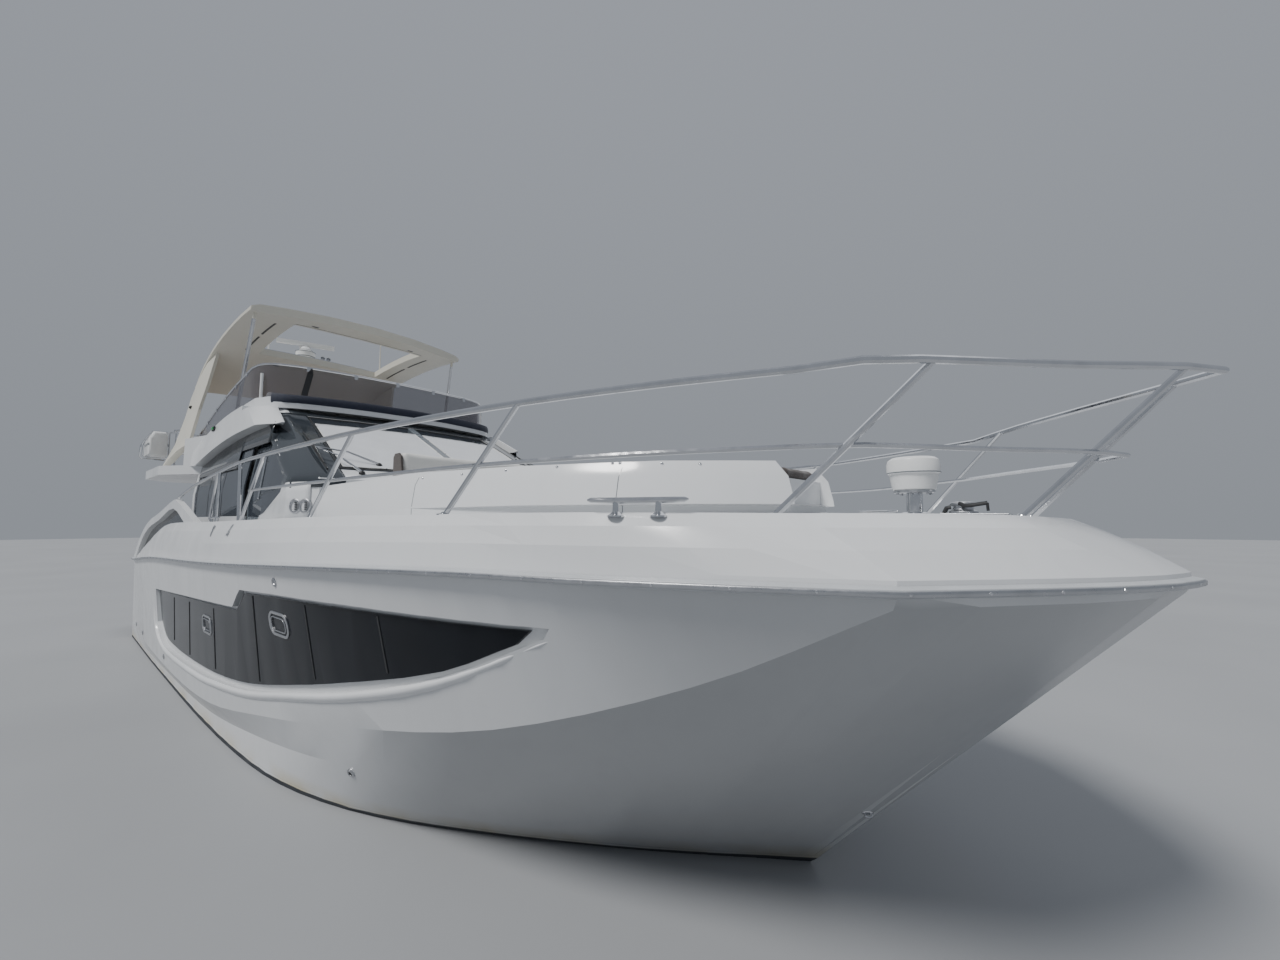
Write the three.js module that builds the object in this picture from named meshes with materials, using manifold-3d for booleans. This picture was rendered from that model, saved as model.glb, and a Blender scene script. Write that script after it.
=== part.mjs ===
// Flybridge motor yacht, 15.5 m long, afloat.
// Millimetres. +X is the bow, +Y port, +Z up. The origin lies on the waterline, amidships, on the centreline.
import * as THREE from 'three';
import { mergeVertices } from 'three/addons/utils/BufferGeometryUtils.js';
import Module from 'manifold-3d';

const wasm = await Module();
wasm.setup();

// Driving dimensions
const GAP = 0.3;
const SLIVER = 1e-4;
const TRANSOM_X = -6200;
const PLATFORM_Z = 420;
const SOLE_Z = 950;
const SOLE_HALF_BEAM = 1450;
const SIDE_DECK_Z = 2105;
const FLY_FLOOR_Z = 3000;
const FLY_UNDER_Z = 2860;
const FLY_TOP_Z = 3640;
const ROOF_THICK = 105;
const RAIL_RADIUS = 17;
const WALL = 55;
const HOUSE_AFT_X = -3000;
const SHAFT_Y = 850;
const SHAFT_SLOPE = 0.15;

// Materials
const paint = (color, roughness = 0.3, metalness = 0) =>
  new THREE.MeshStandardMaterial({ color, roughness, metalness });
const gelcoat = paint(0xe6e8ea, 0.2);
const hullWhite = paint(0xd4d7d9, 0.22);
const cream = paint(0xd9d5c8, 0.45);
const rubber = paint(0xc9ccce, 0.5);
const stainless = paint(0xb9bcc0, 0.2, 1);
const darkGlass = paint(0x1b2024, 0.08);
const tintGlass = paint(0x5a6470, 0.1);
const smoke = paint(0x4a4650, 0.12);
const bronze = paint(0x9a7a45, 0.35, 1);
const teak = paint(0x9a7450, 0.7);
const vinyl = paint(0xd8d4cc, 0.6);
const brown = paint(0x3b3230, 0.7);
const grey = paint(0x8d9296, 0.5);

const yacht = new THREE.Group();

// Solids: closed geometry in, joined or cut by the boolean library, closed geometry out
function solid(geometry) {
  if (geometry instanceof wasm.Manifold) return geometry;
  const bare = geometry.clone();
  bare.deleteAttribute('normal');
  bare.deleteAttribute('uv');
  const merged = mergeVertices(bare, 0.01);
  const position = merged.attributes.position;
  const kept = [];
  let volume = 0;
  const [a, b, c] = [new THREE.Vector3(), new THREE.Vector3(), new THREE.Vector3()];
  for (let i = 0; i < merged.index.count; i += 3) {
    const tri = [0, 1, 2].map((k) => merged.index.getX(i + k));
    if (tri[0] === tri[1] || tri[1] === tri[2] || tri[2] === tri[0]) continue;
    kept.push(tri);
    [a, b, c].forEach((v, k) => v.fromBufferAttribute(position, tri[k]));
    volume += a.dot(b.cross(c));
  }
  const triVerts = Uint32Array.from(kept.flatMap((t) => (volume < 0 ? [t[0], t[2], t[1]] : t)));
  const mesh = new wasm.Mesh({ numProp: 3, vertProperties: new Float32Array(position.array), triVerts });
  return new wasm.Manifold(mesh);
}

function join(...pieces) {
  return pieces.map(solid).reduce((sum, piece) => sum.add(piece));
}

function cut(body, ...tools) {
  return tools.map(solid).reduce((left, tool) => left.subtract(tool), solid(body));
}

function overlap(first, second) {
  return solid(first).intersect(solid(second));
}

// A piece stands clear of its neighbour by the gap along the given direction
function seat(piece, neighbour, x, y, z) {
  const shift = [x * GAP, y * GAP, z * GAP];
  return cut(piece, solid(neighbour).translate(shift), mirrored(neighbour).translate(shift));
}

function mirrored(piece) {
  return solid(piece).mirror([0, 1, 0]);
}

// The main body of a piece, without the slivers that a cut may leave
function whole(piece) {
  const bodies = solid(piece).decompose();
  bodies.sort((a, b) => b.volume() - a.volume());
  return bodies.slice(1).some((b) => b.volume() > SLIVER * bodies[0].volume()) ? solid(piece) : bodies[0];
}

// The same once its points are rounded to what the mesh holds
function settled(piece) {
  const mesh = whole(piece).getMesh();
  const rounded = new wasm.Mesh({ numProp: 3, vertProperties: mesh.vertProperties, triVerts: mesh.triVerts });
  return whole(new wasm.Manifold(rounded));
}

function geometryOf(piece) {
  const mesh = settled(piece).getMesh();
  const geometry = new THREE.BufferGeometry();
  geometry.setAttribute('position', new THREE.BufferAttribute(new Float32Array(mesh.vertProperties), 3));
  geometry.setIndex(new THREE.BufferAttribute(new Uint32Array(mesh.triVerts), 1));
  geometry.computeVertexNormals();
  return geometry;
}

function part(name, material, piece) {
  const mesh = new THREE.Mesh(geometryOf(piece), material);
  mesh.name = name;
  yacht.add(mesh);
  return piece;
}

// A port piece and its mirror image to starboard
function pair(name, material, portPiece) {
  part(`${name}_port`, material, portPiece);
  part(`${name}_stbd`, material, mirrored(portPiece));
}

// Shapes
function box(x0, x1, y0, y1, z0, z1) {
  const geometry = new THREE.BoxGeometry(x1 - x0, y1 - y0, z1 - z0);
  return geometry.translate((x0 + x1) / 2, (y0 + y1) / 2, (z0 + z1) / 2);
}

// An outline of [u, v] points pushed along one axis: X takes (y, z), Y takes (x, z), Z takes (x, y)
function prism(points, axis, from, to) {
  const shape = new THREE.Shape(points.map(([u, v]) => new THREE.Vector2(u, v)));
  const geometry = new THREE.ExtrudeGeometry(shape, { depth: to - from, bevelEnabled: false });
  const frame = new THREE.Matrix4();
  const [x, y, z] = [new THREE.Vector3(1, 0, 0), new THREE.Vector3(0, 1, 0), new THREE.Vector3(0, 0, 1)];
  if (axis === 'X') frame.makeBasis(y, z, x).setPosition(from, 0, 0);
  if (axis === 'Y') frame.makeBasis(x, z, y.clone().negate()).setPosition(0, to, 0);
  if (axis === 'Z') frame.makeBasis(x, y, z).setPosition(0, 0, from);
  return geometry.applyMatrix4(frame);
}

// Closed rings of equal length, skinned and capped; a last ring that lies flat on itself closes alone
function loft(rings) {
  const count = rings[0].length;
  const positions = rings.flat(2);
  const index = [];
  for (let r = 0; r < rings.length - 1; r += 1) {
    for (let i = 0; i < count; i += 1) {
      const j = (i + 1) % count;
      const [a, b] = [r * count + i, r * count + j];
      index.push(a, b, b + count, a, b + count, a + count);
    }
  }
  const ends = [[0, true], [rings.length - 1, false]];
  for (const [r, flip] of ends) {
    const flat = flatRing(rings[r]);
    if (Math.abs(THREE.ShapeUtils.area(flat)) < 1) continue;
    for (const [a, b, c] of THREE.ShapeUtils.triangulateShape(flat, [])) {
      const tri = [a, b, c].map((k) => r * count + k);
      index.push(...(flip ? [tri[0], tri[2], tri[1]] : tri));
    }
  }
  const geometry = new THREE.BufferGeometry();
  geometry.setAttribute('position', new THREE.Float32BufferAttribute(positions, 3));
  geometry.setIndex(index);
  return geometry;
}

// A ring seen along its own normal, so that its cap can be triangulated
function flatRing(ring) {
  const normal = new THREE.Vector3();
  ring.forEach((p, i) => {
    const q = ring[(i + 1) % ring.length];
    normal.add(new THREE.Vector3(...p).cross(new THREE.Vector3(...q)));
  });
  if (normal.length() < 1) return ring.map(([x, , z]) => new THREE.Vector2(x, z));
  normal.normalize();
  const across = Math.abs(normal.z) < 0.9 ? [0, 0, 1] : [1, 0, 0];
  const u = new THREE.Vector3(...across).cross(normal).normalize();
  const v = normal.clone().cross(u);
  return ring.map((p) => new THREE.Vector2(new THREE.Vector3(...p).dot(u), new THREE.Vector3(...p).dot(v)));
}

// A path of straight runs that has one step for each of its points
class Polyline extends THREE.Curve {
  constructor(points) {
    super();
    this.points = points;
  }

  getPointAt(share, target = new THREE.Vector3()) {
    const place = Math.min(share * (this.points.length - 1), this.points.length - 1 - 1e-9);
    const i = Math.floor(place);
    return target.lerpVectors(this.points[i], this.points[i + 1], place - i);
  }

  getTangentAt(share, target = new THREE.Vector3()) {
    const place = Math.round(share * (this.points.length - 1));
    const before = this.points[Math.max(0, place - 1)];
    const here = this.points[place];
    const after = this.points[Math.min(this.points.length - 1, place + 1)];
    const [first, last] = [here.clone().sub(before).normalize(), after.clone().sub(here).normalize()];
    return target.copy(first).add(last).normalize();
  }
}

// A round bar through the given points, rounded between them unless straight
function bar(points, radius, { sides = 8, steps = points.length * 4, straight = false } = {}) {
  const at = points.map((p) => new THREE.Vector3(...p));
  const bent = at.length > 2 && !straight;
  const path = bent ? new THREE.CatmullRomCurve3(at, false, 'centripetal') : new Polyline(at);
  const section = new THREE.Shape(
    [...Array(sides).keys()].map((k) => {
      const angle = ((k + 0.5) / sides) * 2 * Math.PI;
      return new THREE.Vector2(radius * Math.cos(angle), radius * Math.sin(angle));
    }),
  );
  const count = bent ? steps : at.length - 1;
  return new THREE.ExtrudeGeometry(section, { steps: count, extrudePath: path, bevelEnabled: false });
}

// A turned shape: [radius, height] points from axis to axis, standing along +Z at a place
function turned(profile, x, y, z, sides = 20) {
  const geometry = new THREE.LatheGeometry(profile.map(([r, h]) => new THREE.Vector2(r, h)), sides);
  return geometry.rotateX(Math.PI / 2).translate(x, y, z);
}

// The same, with its axis turned to a direction first
function turnedAlong(profile, at, direction, sides = 20) {
  const geometry = new THREE.LatheGeometry(profile.map(([r, h]) => new THREE.Vector2(r, h)), sides);
  const turn = new THREE.Quaternion().setFromUnitVectors(
    new THREE.Vector3(0, 1, 0),
    new THREE.Vector3(...direction).normalize(),
  );
  return geometry.applyQuaternion(turn).translate(...at);
}

// Rounded rectangle outline of half sizes a and b round a centre, with n points a corner
function rounded(cx, cy, a, b, r, n = 3) {
  const points = [];
  const corners = [[1, 1, 0], [-1, 1, 90], [-1, -1, 180], [1, -1, 270]];
  for (const [sx, sy, start] of corners) {
    for (let k = 0; k <= n; k += 1) {
      const angle = ((start + (90 * k) / n) * Math.PI) / 180;
      points.push([cx + sx * (a - r) + r * Math.cos(angle), cy + sy * (b - r) + r * Math.sin(angle)]);
    }
  }
  return points;
}

// A smooth curve through the given points, with a count of steps between neighbours
function smooth(points, steps) {
  const curve = new THREE.CatmullRomCurve3(points.map(([x, y, z = 0]) => new THREE.Vector3(x, y, z)),
    false, 'centripetal');
  return curve.getPoints((points.length - 1) * steps).map((v) => v.toArray().slice(0, points[0].length));
}

// Hull lines: [x, half beam, height] from stern to stem; at the bow shoulder some of them have a corner
const SHOULDER = { knuckle: 6850, rail: 6870, edge: 6502 };
const hullTables = {
  keel: [[-6200, 0, -610], [-2000, 0, -690], [1000, 0, -720], [3000, 0, -690], [4200, 0, -600],
    [5000, 0, -470], [5560, 0, -300]],
  chine: [[-6200, 1950, -120], [-3000, 1985, -90], [660, 1980, -40], [2250, 1870, -5], [3240, 1620, 10],
    [4220, 1150, 20], [5090, 630, 25], [5710, 200, 30], [5990, 0, 30]],
  knuckle: [[-6200, 1960, 300], [-3000, 2080, 310], [650, 2080, 360], [2290, 2020, 580], [3600, 1920, 790],
    [4970, 1720, 1050], [6110, 1450, 1440], [6850, 1352, 1815], [7130, 1045, 1822], [7400, 690, 1820],
    [7600, 290, 1815], [7690, 0, 1812]],
  rail: [[-6200, 2000, 1430], [-5400, 2060, 1455], [-4500, 2130, 1500], [-2400, 2180, 1620],
    [400, 2200, 1700], [1900, 2200, 1750], [3650, 2160, 1820], [5010, 1990, 1860], [5670, 1838, 1863],
    [6230, 1650, 1864], [6870, 1372, 1862], [7130, 1065, 1860], [7400, 705, 1856], [7620, 300, 1850],
    [7712, 0, 1845]],
  edge: [[-6200, 1950, 1480], [-5400, 2010, 1520], [-4700, 2060, 1560], [-4400, 2075, 1660],
    [-3600, 2085, 1850], [-2900, 2090, 1985], [-2200, 2095, 2080], [-1400, 2100, 2110], [160, 2110, 2118],
    [2190, 2100, 2140], [2920, 2080, 2150], [3900, 2030, 2158], [4820, 1925, 2160], [5350, 1850, 2162],
    [5740, 1740, 2162], [6030, 1610, 2160], [6502, 1330, 2155], [6850, 980, 2155], [7120, 620, 2150],
    [7270, 300, 2140], [7320, 0, 2135]],
};

function smoothLine([name, rows]) {
  const corner = rows.findIndex(([x]) => x === SHOULDER[name]);
  if (corner < 0) return [name, smooth(rows, 4)];
  return [name, [...smooth(rows.slice(0, corner + 1), 4), ...smooth(rows.slice(corner), 4).slice(1)]];
}
const lines = Object.fromEntries(Object.entries(hullTables).map(smoothLine));

// A line read at any x
function along(line, x) {
  const i = Math.max(1, line.findIndex((p) => p[0] >= x - 1e-6));
  const [p, q] = [line[i - 1], line[i]];
  const t = (x - p[0]) / (q[0] - p[0]);
  return [x, p[1] + (q[1] - p[1]) * t, p[2] + (q[2] - p[2]) * t];
}

const STATIONS = 42;
const SHOULDER_SHARE = 0.93948;
const stations = [...[...Array(STATIONS + 1).keys()].map((i) => 1 - (1 - i / STATIONS) ** 1.6),
  SHOULDER_SHARE]
  .sort((a, b) => a - b);

// A line's point at a share of the way from stern to stem
function station(line, share) {
  const x = TRANSOM_X + (line[line.length - 1][0] - TRANSOM_X) * share;
  return along(line, x);
}

// Hull skin, or the same drawn in by an inset on its topsides
function hullSolid(inset = 0) {
  const rings = stations.map((share) => {
    const [keel, chine, knuckle, rail] = ['keel', 'chine', 'knuckle', 'rail']
      .map((k) => station(lines[k], share));
    const flare = chine.map((v, k) => (v + knuckle[k]) / 2);
    flare[1] -= 60 * share * (1 - share) * 4;
    flare[1] = Math.max(0, flare[1]);
    const side = [chine, flare, knuckle, rail].map(([x, y, z]) => [x, Math.max(0, y - inset), z]);
    const other = side.map(([x, y, z]) => [x, -y, z]).reverse();
    return [keel, ...side, ...other];
  });
  return solid(loft(rings));
}

// Hull windows: outlines as [x, z] on the topsides
const windowGlass = [[-2130, 1210], [60, 1300], [1870, 1375], [2130, 1540], [2900, 1575], [4020, 1600],
  [5400, 1618], ...smooth([[5290, 1540], [4740, 1330], [3680, 1090], [3080, 970], [2000, 780], [1000, 690],
    [0, 650], [-1000, 640], [-1600, 680], [-1950, 850]], 3)];
const windowRecess = [[-2200, 1225], [60, 1330], [1850, 1405], [2110, 1570], [2900, 1605], [4020, 1632],
  [5530, 1645], ...smooth([[5480, 1590], [4740, 1300], [3680, 1030], [3000, 900], [2000, 730], [1000, 640],
    [0, 590], [-1090, 560], [-1700, 590], [-2080, 800]], 3)];
const RECESS_DEPTH = 45;
const GLASS_INSET = 28;

function hull() {
  const skin = hullSolid();
  const recess = cut(prism(windowRecess, 'Y', 500, 2400), hullSolid(RECESS_DEPTH));
  const thruster = new THREE.CylinderGeometry(95, 95, 3000, 16).translate(4600, 0, -270);
  return cut(skin, recess, mirrored(recess), well(), steps(), thruster);
}

function hullWindow() {
  const pane = overlap(hullSolid(GLASS_INSET), prism(windowGlass, 'Y', 500, 2400));
  return cut(pane, hullSolid(RECESS_DEPTH - GAP));
}

// Cockpit and saloon floor, and the stairs that come up from the platform on either side
const STAIR_IN = 1150;
const STAIR_OUT = 1800;
const GATE_X = -5760;

function well() {
  const port = [[-5690, 1810], [-4900, 1810], [-4600, 1750], [-3300, 1750], [-3000, SOLE_HALF_BEAM],
    [900, SOLE_HALF_BEAM], [1250, 1200]];
  return prism([...port, ...port.map(([x, y]) => [x, -y]).reverse()], 'Z', SOLE_Z, 2600);
}

function steps() {
  const profile = [[TRANSOM_X - 50, PLATFORM_Z + 20], [TRANSOM_X + 150, PLATFORM_Z + 20],
    [TRANSOM_X + 150, 690], [GATE_X, 690], [GATE_X, SOLE_Z], [-5600, SOLE_Z], [-5600, 2600],
    [TRANSOM_X - 50, 2600]];
  const flight = solid(prism(profile, 'Y', STAIR_IN, STAIR_OUT));
  return join(flight, mirrored(flight));
}

// Deck moulding: topsides above the rub rail, side decks and foredeck
const STEP_BAND = 57;

function deckSolid() {
  const rings = stations.map((share) => {
    const [rail, edge] = ['rail', 'edge'].map((k) => station(lines[k], share));
    const crown = 40 * Math.min(1, edge[1] / 1500);
    const inner = [edge[0], Math.max(0, edge[1] - 60), edge[2] - 22];
    const foot = [rail[0], rail[1] * 0.998, rail[2] + STEP_BAND];
    const belly = [0.35, 0.7].map((t) => foot
      .map((v, k) => v + (edge[k] - v) * t + (k > 0 ? 70 * t * (1 - t) : 0)))
      .map(([x, y, z]) => [x, edge[1] > 0 ? y : 0, z]);
    const side = [[rail[0], rail[1], rail[2] + GAP], foot, ...belly, edge, inner];
    const other = side.map(([x, y, z]) => [x, -y, z]).reverse();
    return [...side, [inner[0], 0, inner[2] + crown], ...other];
  });
  return solid(loft(rings));
}

// The arched frame that carries the cockpit's side glass
const hoopOuter = smooth([[-330, 2105], [-440, 2125], [-1650, 2405], [-1810, 2415], [-2960, 2255],
  [-4010, 2120], [-4710, 1910], [-5390, 1530], [-5460, 1440]], 3);
const hoopInner = smooth([[-5280, 1440], [-4620, 1820], [-3950, 2020], [-2960, 2150], [-1830, 2300],
  [-900, 2080]], 3);
const HOOP_Y = [2020, 2085];

function deck() {
  const hoop = overlap(prism([...hoopOuter, ...hoopInner], 'Y', ...HOOP_Y),
    box(-6000, 0, 1900, 2200, 1515, 3000));
  const aft = box(-6500, GATE_X + 100, -STAIR_IN, STAIR_IN, 1000, 2000);
  return cut(join(deckSolid(), hoop, mirrored(hoop)), well(), steps(), aft, locker(6));
}

// The block between the two transom gates
function transomBlock() {
  const profile = [[TRANSOM_X, 1400], [-5690, 1400], [-5690, 1640], [-6120, 1640], [TRANSOM_X + 12, 1560]];
  return join(prism(profile, 'Y', -STAIR_IN, STAIR_IN), box(-5700, -5130, -1080, 900, SOLE_Z - 5, 1340));
}

// Anchor locker: its recess is larger than its lid by the clearance given
function locker(grow) {
  const plan = [[6140 - grow, -300 - grow], [6480 + grow, -300 - grow], [6480 + grow, 300 + grow],
    [6140 - grow, 300 + grow]];
  return prism(plan, 'Z', 2060 - grow, 2400);
}

const LID_Z = along(lines.edge, 6140)[2] + 13.3;

function lockerLid() {
  const lid = overlap(overlap(deckSolid(), locker(0)), box(6000, 6600, -400, 400, 2135, 2400));
  const barrel = new THREE.CylinderGeometry(5.7, 5.7, 300, 12).translate(6140, 0, LID_Z);
  return join(lid, barrel);
}

function hoopGlass() {
  const outline = [[-5330, 1500], [-4680, 1850], [-3980, 2060], [-2960, 2195], [-1850, 2350], [-700, 2105],
    [-2500, 1960], [-4300, 1560]];
  const pane = prism(outline, 'Y', HOOP_Y[0] - GAP - 14, HOOP_Y[0] - GAP);
  return cut(pane, solid(deckSolid()).translate([0, 0, GAP]));
}

// Rub rail: a band round the sheer, drawn out from the deck's foot
function rubRail() {
  const path = [];
  stations.forEach((share) => path.push(station(lines.rail, share)));
  const starboard = path.slice(0, -1).map(([x, y, z]) => [x, -y, z]);
  const round = [...path, ...starboard.reverse()];
  const depth = 40;
  const rings = round.map((p, i) => {
    const before = round[Math.max(0, i - 1)];
    const after = round[Math.min(round.length - 1, i + 1)];
    const inward = new THREE.Vector2(p[0] - before[0], p[1] - before[1]).normalize();
    const outward = new THREE.Vector2(after[0] - p[0], after[1] - p[1]).normalize();
    const first = i === 0 ? outward : inward;
    const last = i === round.length - 1 ? inward : outward;
    const normal = new THREE.Vector2(first.y + last.y, -(first.x + last.x)).normalize().negate();
    const side = new THREE.Vector2(first.y, -first.x).negate();
    const mitre = 1 / Math.max(0.5, normal.dot(side));
    const out = (d) => [p[0] + normal.x * d * mitre, p[1] + normal.y * d * mitre];
    const [near, far] = [out(GAP * 1.4), out(depth)];
    return [[...near, p[2] - 6], [...far, p[2]], [...far, p[2] + 31], [...near, p[2] + 40]];
  });
  return solid(loft(rings));
}

// Foredeck lounge: the raised moulding before the windscreen, with its nose open between the coaming ends
const LOUNGE_TOP = 2500;
const NOSE = { x: 5955, y: 325, z: 2400 };

function loungeRing(shrink, z, tilt = 0, toe = 0) {
  const half = [[6060, 0], [6050, 330], [5800, 560], [5450, 850], [5180, 970], [4540, 1220], [3500, 1450],
    [1200, 1640], [700, 1660]].map(([x, y]) => {
    const inward = shrink + (toe * Math.min(1, Math.max(0, (x - 3500) / 1500)));
    return [x > 700 ? x - inward : x, Math.max(0, y - inward)];
  });
  const other = half.slice(1).map(([x, y]) => [x, -y]).reverse();
  return [...half, ...other].map(([x, y]) => [x, y, z + (x < 1300 ? tilt : 0)]);
}

function lounge() {
  const body = loft([loungeRing(0, 2060, 0, 45), loungeRing(0, 2222, 0, 45), loungeRing(0, 2228),
    loungeRing(20, 2400, -90),
    loungeRing(60, LOUNGE_TOP, -60)]);
  const pan = cut(loft([loungeRing(210, 2260), loungeRing(220, 2600)]),
    box(0, 2600, -2000, 2000, 2000, 2800));
  const opening = join(box(NOSE.x, 6200, -NOSE.y, NOSE.y, 2228, 2700),
    box(5600, 6200, -NOSE.y, NOSE.y, NOSE.z, 2700));
  return seat(seat(cut(body, pan, opening), deckSolid(), 0, 0, 1), houseSolid(0), 1, 0, 0);
}

// Deckhouse shell, from the side decks up to the flybridge
// Rows are [height, front x, corner x, corner y, side y]
const houseRows = [
  [SIDE_DECK_Z - 20, 2200, 1940, 1570, 1720],
  [2530, 2200, 1940, 1570, 1715],
  [3500, 200, 20, 1380, 1560],
];

function houseSolid(inset = 0, top = 3500) {
  const ring = ([z, front, corner, cornerY, sideY]) => {
    const half = [[front - inset * 1.6, 0], [front - 60 - inset * 1.6, 700],
      [corner - inset * 1.5, cornerY - inset * 0.8], [corner - 330 - inset * 0.6, sideY - inset],
      [HOUSE_AFT_X + inset, sideY - inset]];
    const other = half.slice(1).map(([x, y]) => [x, -y]).reverse();
    return [...half, ...other].map(([x, y]) => [x, y, z]);
  };
  return overlap(loft(houseRows.map(ring)), box(-4000, 4000, -3000, 3000, 1000, top));
}

const windscreenHole = [[-1330, 2640], [1330, 2640], [1200, 3400], [-1200, 3400]];
const sideHole = [[-2850, 2190], [1100, 2190], [1480, 2560], [620, 3060], [-300, 3150], [-620, 3140],
  [-620, 2800], [-2850, 2800]];
const DOOR = { x0: -130, x1: 640, z1: 3010 };
const doorway = () => box(DOOR.x0, DOOR.x1, -2000, -1300, 2000, DOOR.z1);

function house() {
  const shell = cut(houseSolid(0), houseSolid(WALL, 3440));
  const front = overlap(prism(windscreenHole, 'X', 150, 4000), box(150, 4000, -1500, 1500, 2500, 3450));
  const sides = prism(sideHole, 'Y', 1300, 2000);
  const aft = box(HOUSE_AFT_X - 50, HOUSE_AFT_X + 100, -1400, 1400, 2060, 2780);
  const above = box(-4000, FLY_FRONT_X, -3000, 3000, FLY_UNDER_Z - GAP, 4000);
  const body = cut(shell, front, sides, mirrored(sides), doorway(), aft, above);
  return seat(body, deckSolid(), 0, 0, 1);
}

// Window panes lie in their holes, a gap short of the frame
function glassSheet() {
  return cut(houseSolid(14), houseSolid(30));
}

function windscreen() {
  const shrunk = windscreenHole.map(([y, z]) => [y * 0.9995, z + (z > 3000 ? -GAP : GAP)]);
  return overlap(glassSheet(), prism(shrunk, 'X', 160, 4000));
}

function sideGlass(...rest) {
  const shrunk = sideHole.map(([x, z]) => [x + (x > 700 ? -2 * GAP : GAP * Math.sign(-600 - x)), z]);
  const lowered = shrunk.map(([x, z]) => [x, z + (z > 2700 ? -GAP : GAP)]);
  return cut(overlap(glassSheet(), prism(lowered, 'Y', 1300, 2000)), ...rest);
}

function helmDoor() {
  const leaf = cut(houseSolid(WALL + 8), houseSolid(WALL + 34));
  const plan = box(DOOR.x0 - 20, DOOR.x1 + 20, -2000, -1300, 2000, DOOR.z1 + 20);
  return seat(overlap(leaf, plan), deckSolid(), 0, 0, 1);
}

// Aft bulkhead of the saloon with its fixed pane and sliding door
const BULKHEAD = { x0: -3000, x1: -2945 };

function bulkhead() {
  const outline = [[-1449.7, SOLE_Z + GAP], [1449.7, SOLE_Z + GAP], [1449.7, 2060], [1399.7, 2060],
    [1399.7, 2779.7], [-1399.7, 2779.7], [-1399.7, 2060], [-1449.7, 2060]];
  const panel = prism(outline, 'X', BULKHEAD.x0, BULKHEAD.x1);
  const doorHole = box(-3100, -2900, -80, 720, SOLE_Z, 2700);
  const paneHole = box(-3100, -2960, -1300, -140, SOLE_Z + 80, 2700);
  return cut(panel, doorHole, paneHole);
}
const saloonDoor = () => box(BULKHEAD.x1 + 6, BULKHEAD.x1 + 36, -95, 735, SOLE_Z + GAP, 2715);

// Flybridge: floor, wings over the side decks and the coaming round the front
const FLY_FRONT_X = -620;
const flyPlan = [[-5600, 0], [-5600, 1600], [-5500, 1760], [-5050, 2050], [-3650, 2050], [-3150, 1760],
  [-2900, 1610], ...smooth([[-300, 1600], [60, 1420], [290, 700], [350, 0]], 4)];
const flyTop = smooth([[-6000, 3060], [-5000, 3080], [-4000, 3300], [-2400, 3520], [-1000, 3620],
  [-420, FLY_TOP_Z], [600, FLY_TOP_Z]], 3);
const HATCH = { x0: -4700, x1: -3500, y0: 950, y1: 1560 };

function mirrorPlan(port) {
  return [...port, ...port.slice(1, -1).map(([x, y]) => [x, -y]).reverse()];
}

function flyTopAt(x) {
  return along(flyTop.map(([u, z]) => [u, 0, z]), x)[2];
}

function flySolid() {
  const outer = prism(mirrorPlan(flyPlan), 'Z', FLY_UNDER_Z, 4200);
  const lid = prism([...flyTop, [600, 5000], [-6000, 5000]], 'Y', -3000, 3000);
  const underFront = box(FLY_FRONT_X - GAP, 1000, -3000, 3000, 2000, 3500 + GAP);
  return cut(outer, lid, underFront);
}

function flybridge() {
  const inner = [[-6000, 0], [-6000, 2500], [-3250, 2500], [-3250, 1480], [-700, 1480], [-700, 0]];
  const room = prism(mirrorPlan(inner), 'Z', FLY_FLOOR_Z, 4300);
  const aftSides = cut(prism(mirrorPlan(flyPlan.slice(0, 7)), 'Z', FLY_FLOOR_Z, 4300),
    box(-3250, 0, -3000, 3000, 0, 9000));
  const hatch = box(HATCH.x0, HATCH.x1, HATCH.y0, HATCH.y1, 2000, 3600);
  return join(cut(flySolid(), room, aftSides, hatch), flyConsole(), flySeat(), flySofa(), flyTable());
}

function fascia() {
  const outline = [...smooth([[700, 3222], [370, 3383], [100, 3500], [-80, 3545], [-300, 3560], [-600, 3560],
    [-1400, 3530], [-2200, 3420], [-3000, 3210], [-3300, 3060]], 3), [-3140, 2990],
  ...smooth([[-2800, 2960], [-1970, 3080], [-1200, 3160], [-500, 3200], [300, 3208], [650, 3206]], 3)];
  const section = [[1300, 2900], [1760, 2900], [1738, 3200], [1690, 3500], [1680, 3600], [1300, 3600]];
  const sheet = overlap(prism(outline, 'Y', 1450, 1800), prism(section, 'X', -3500, 1000));
  const turn = cut(houseSolid(-130), box(-5000, -500, -3000, 3000, 0, 5000));
  const behind = prism([[-300, 1300], [1000, 1300], [1000, 1583], [720, 1550], [-300, 1430]],
    'Z', 2900, 3600);
  const plate = cut(overlap(sheet, join(turn, box(-5000, -500, 0, 3000, 2500, 4000))), behind);
  return cut(seat(plate, houseSolid(0), 0, 1, 0), flySolid().translate([0, GAP, 0]), flySolid(),
    flySolid().translate([0, 0, GAP]));
}

// Wind deflector and its rail, round the front of the flybridge
// Rows are [x, half beam, height over the coaming]
const deflectorRows = smooth([[-3900, 1585, 130], [-2400, 1585, 290], [-1000, 1585, 400], [-420, 1560, 435],
  [-220, 1400, 440], [-80, 700, 445], [-40, 0, 445]], 3);

function deflectorPath(extra) {
  const port = deflectorRows.map(([x, y, h]) => [x, y, flyTopAt(x) - 20, flyTopAt(x) + h + extra]);
  return [...port, ...port.slice(0, -1).map(([x, y, a, b]) => [x, -y, a, b]).reverse()];
}

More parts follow.
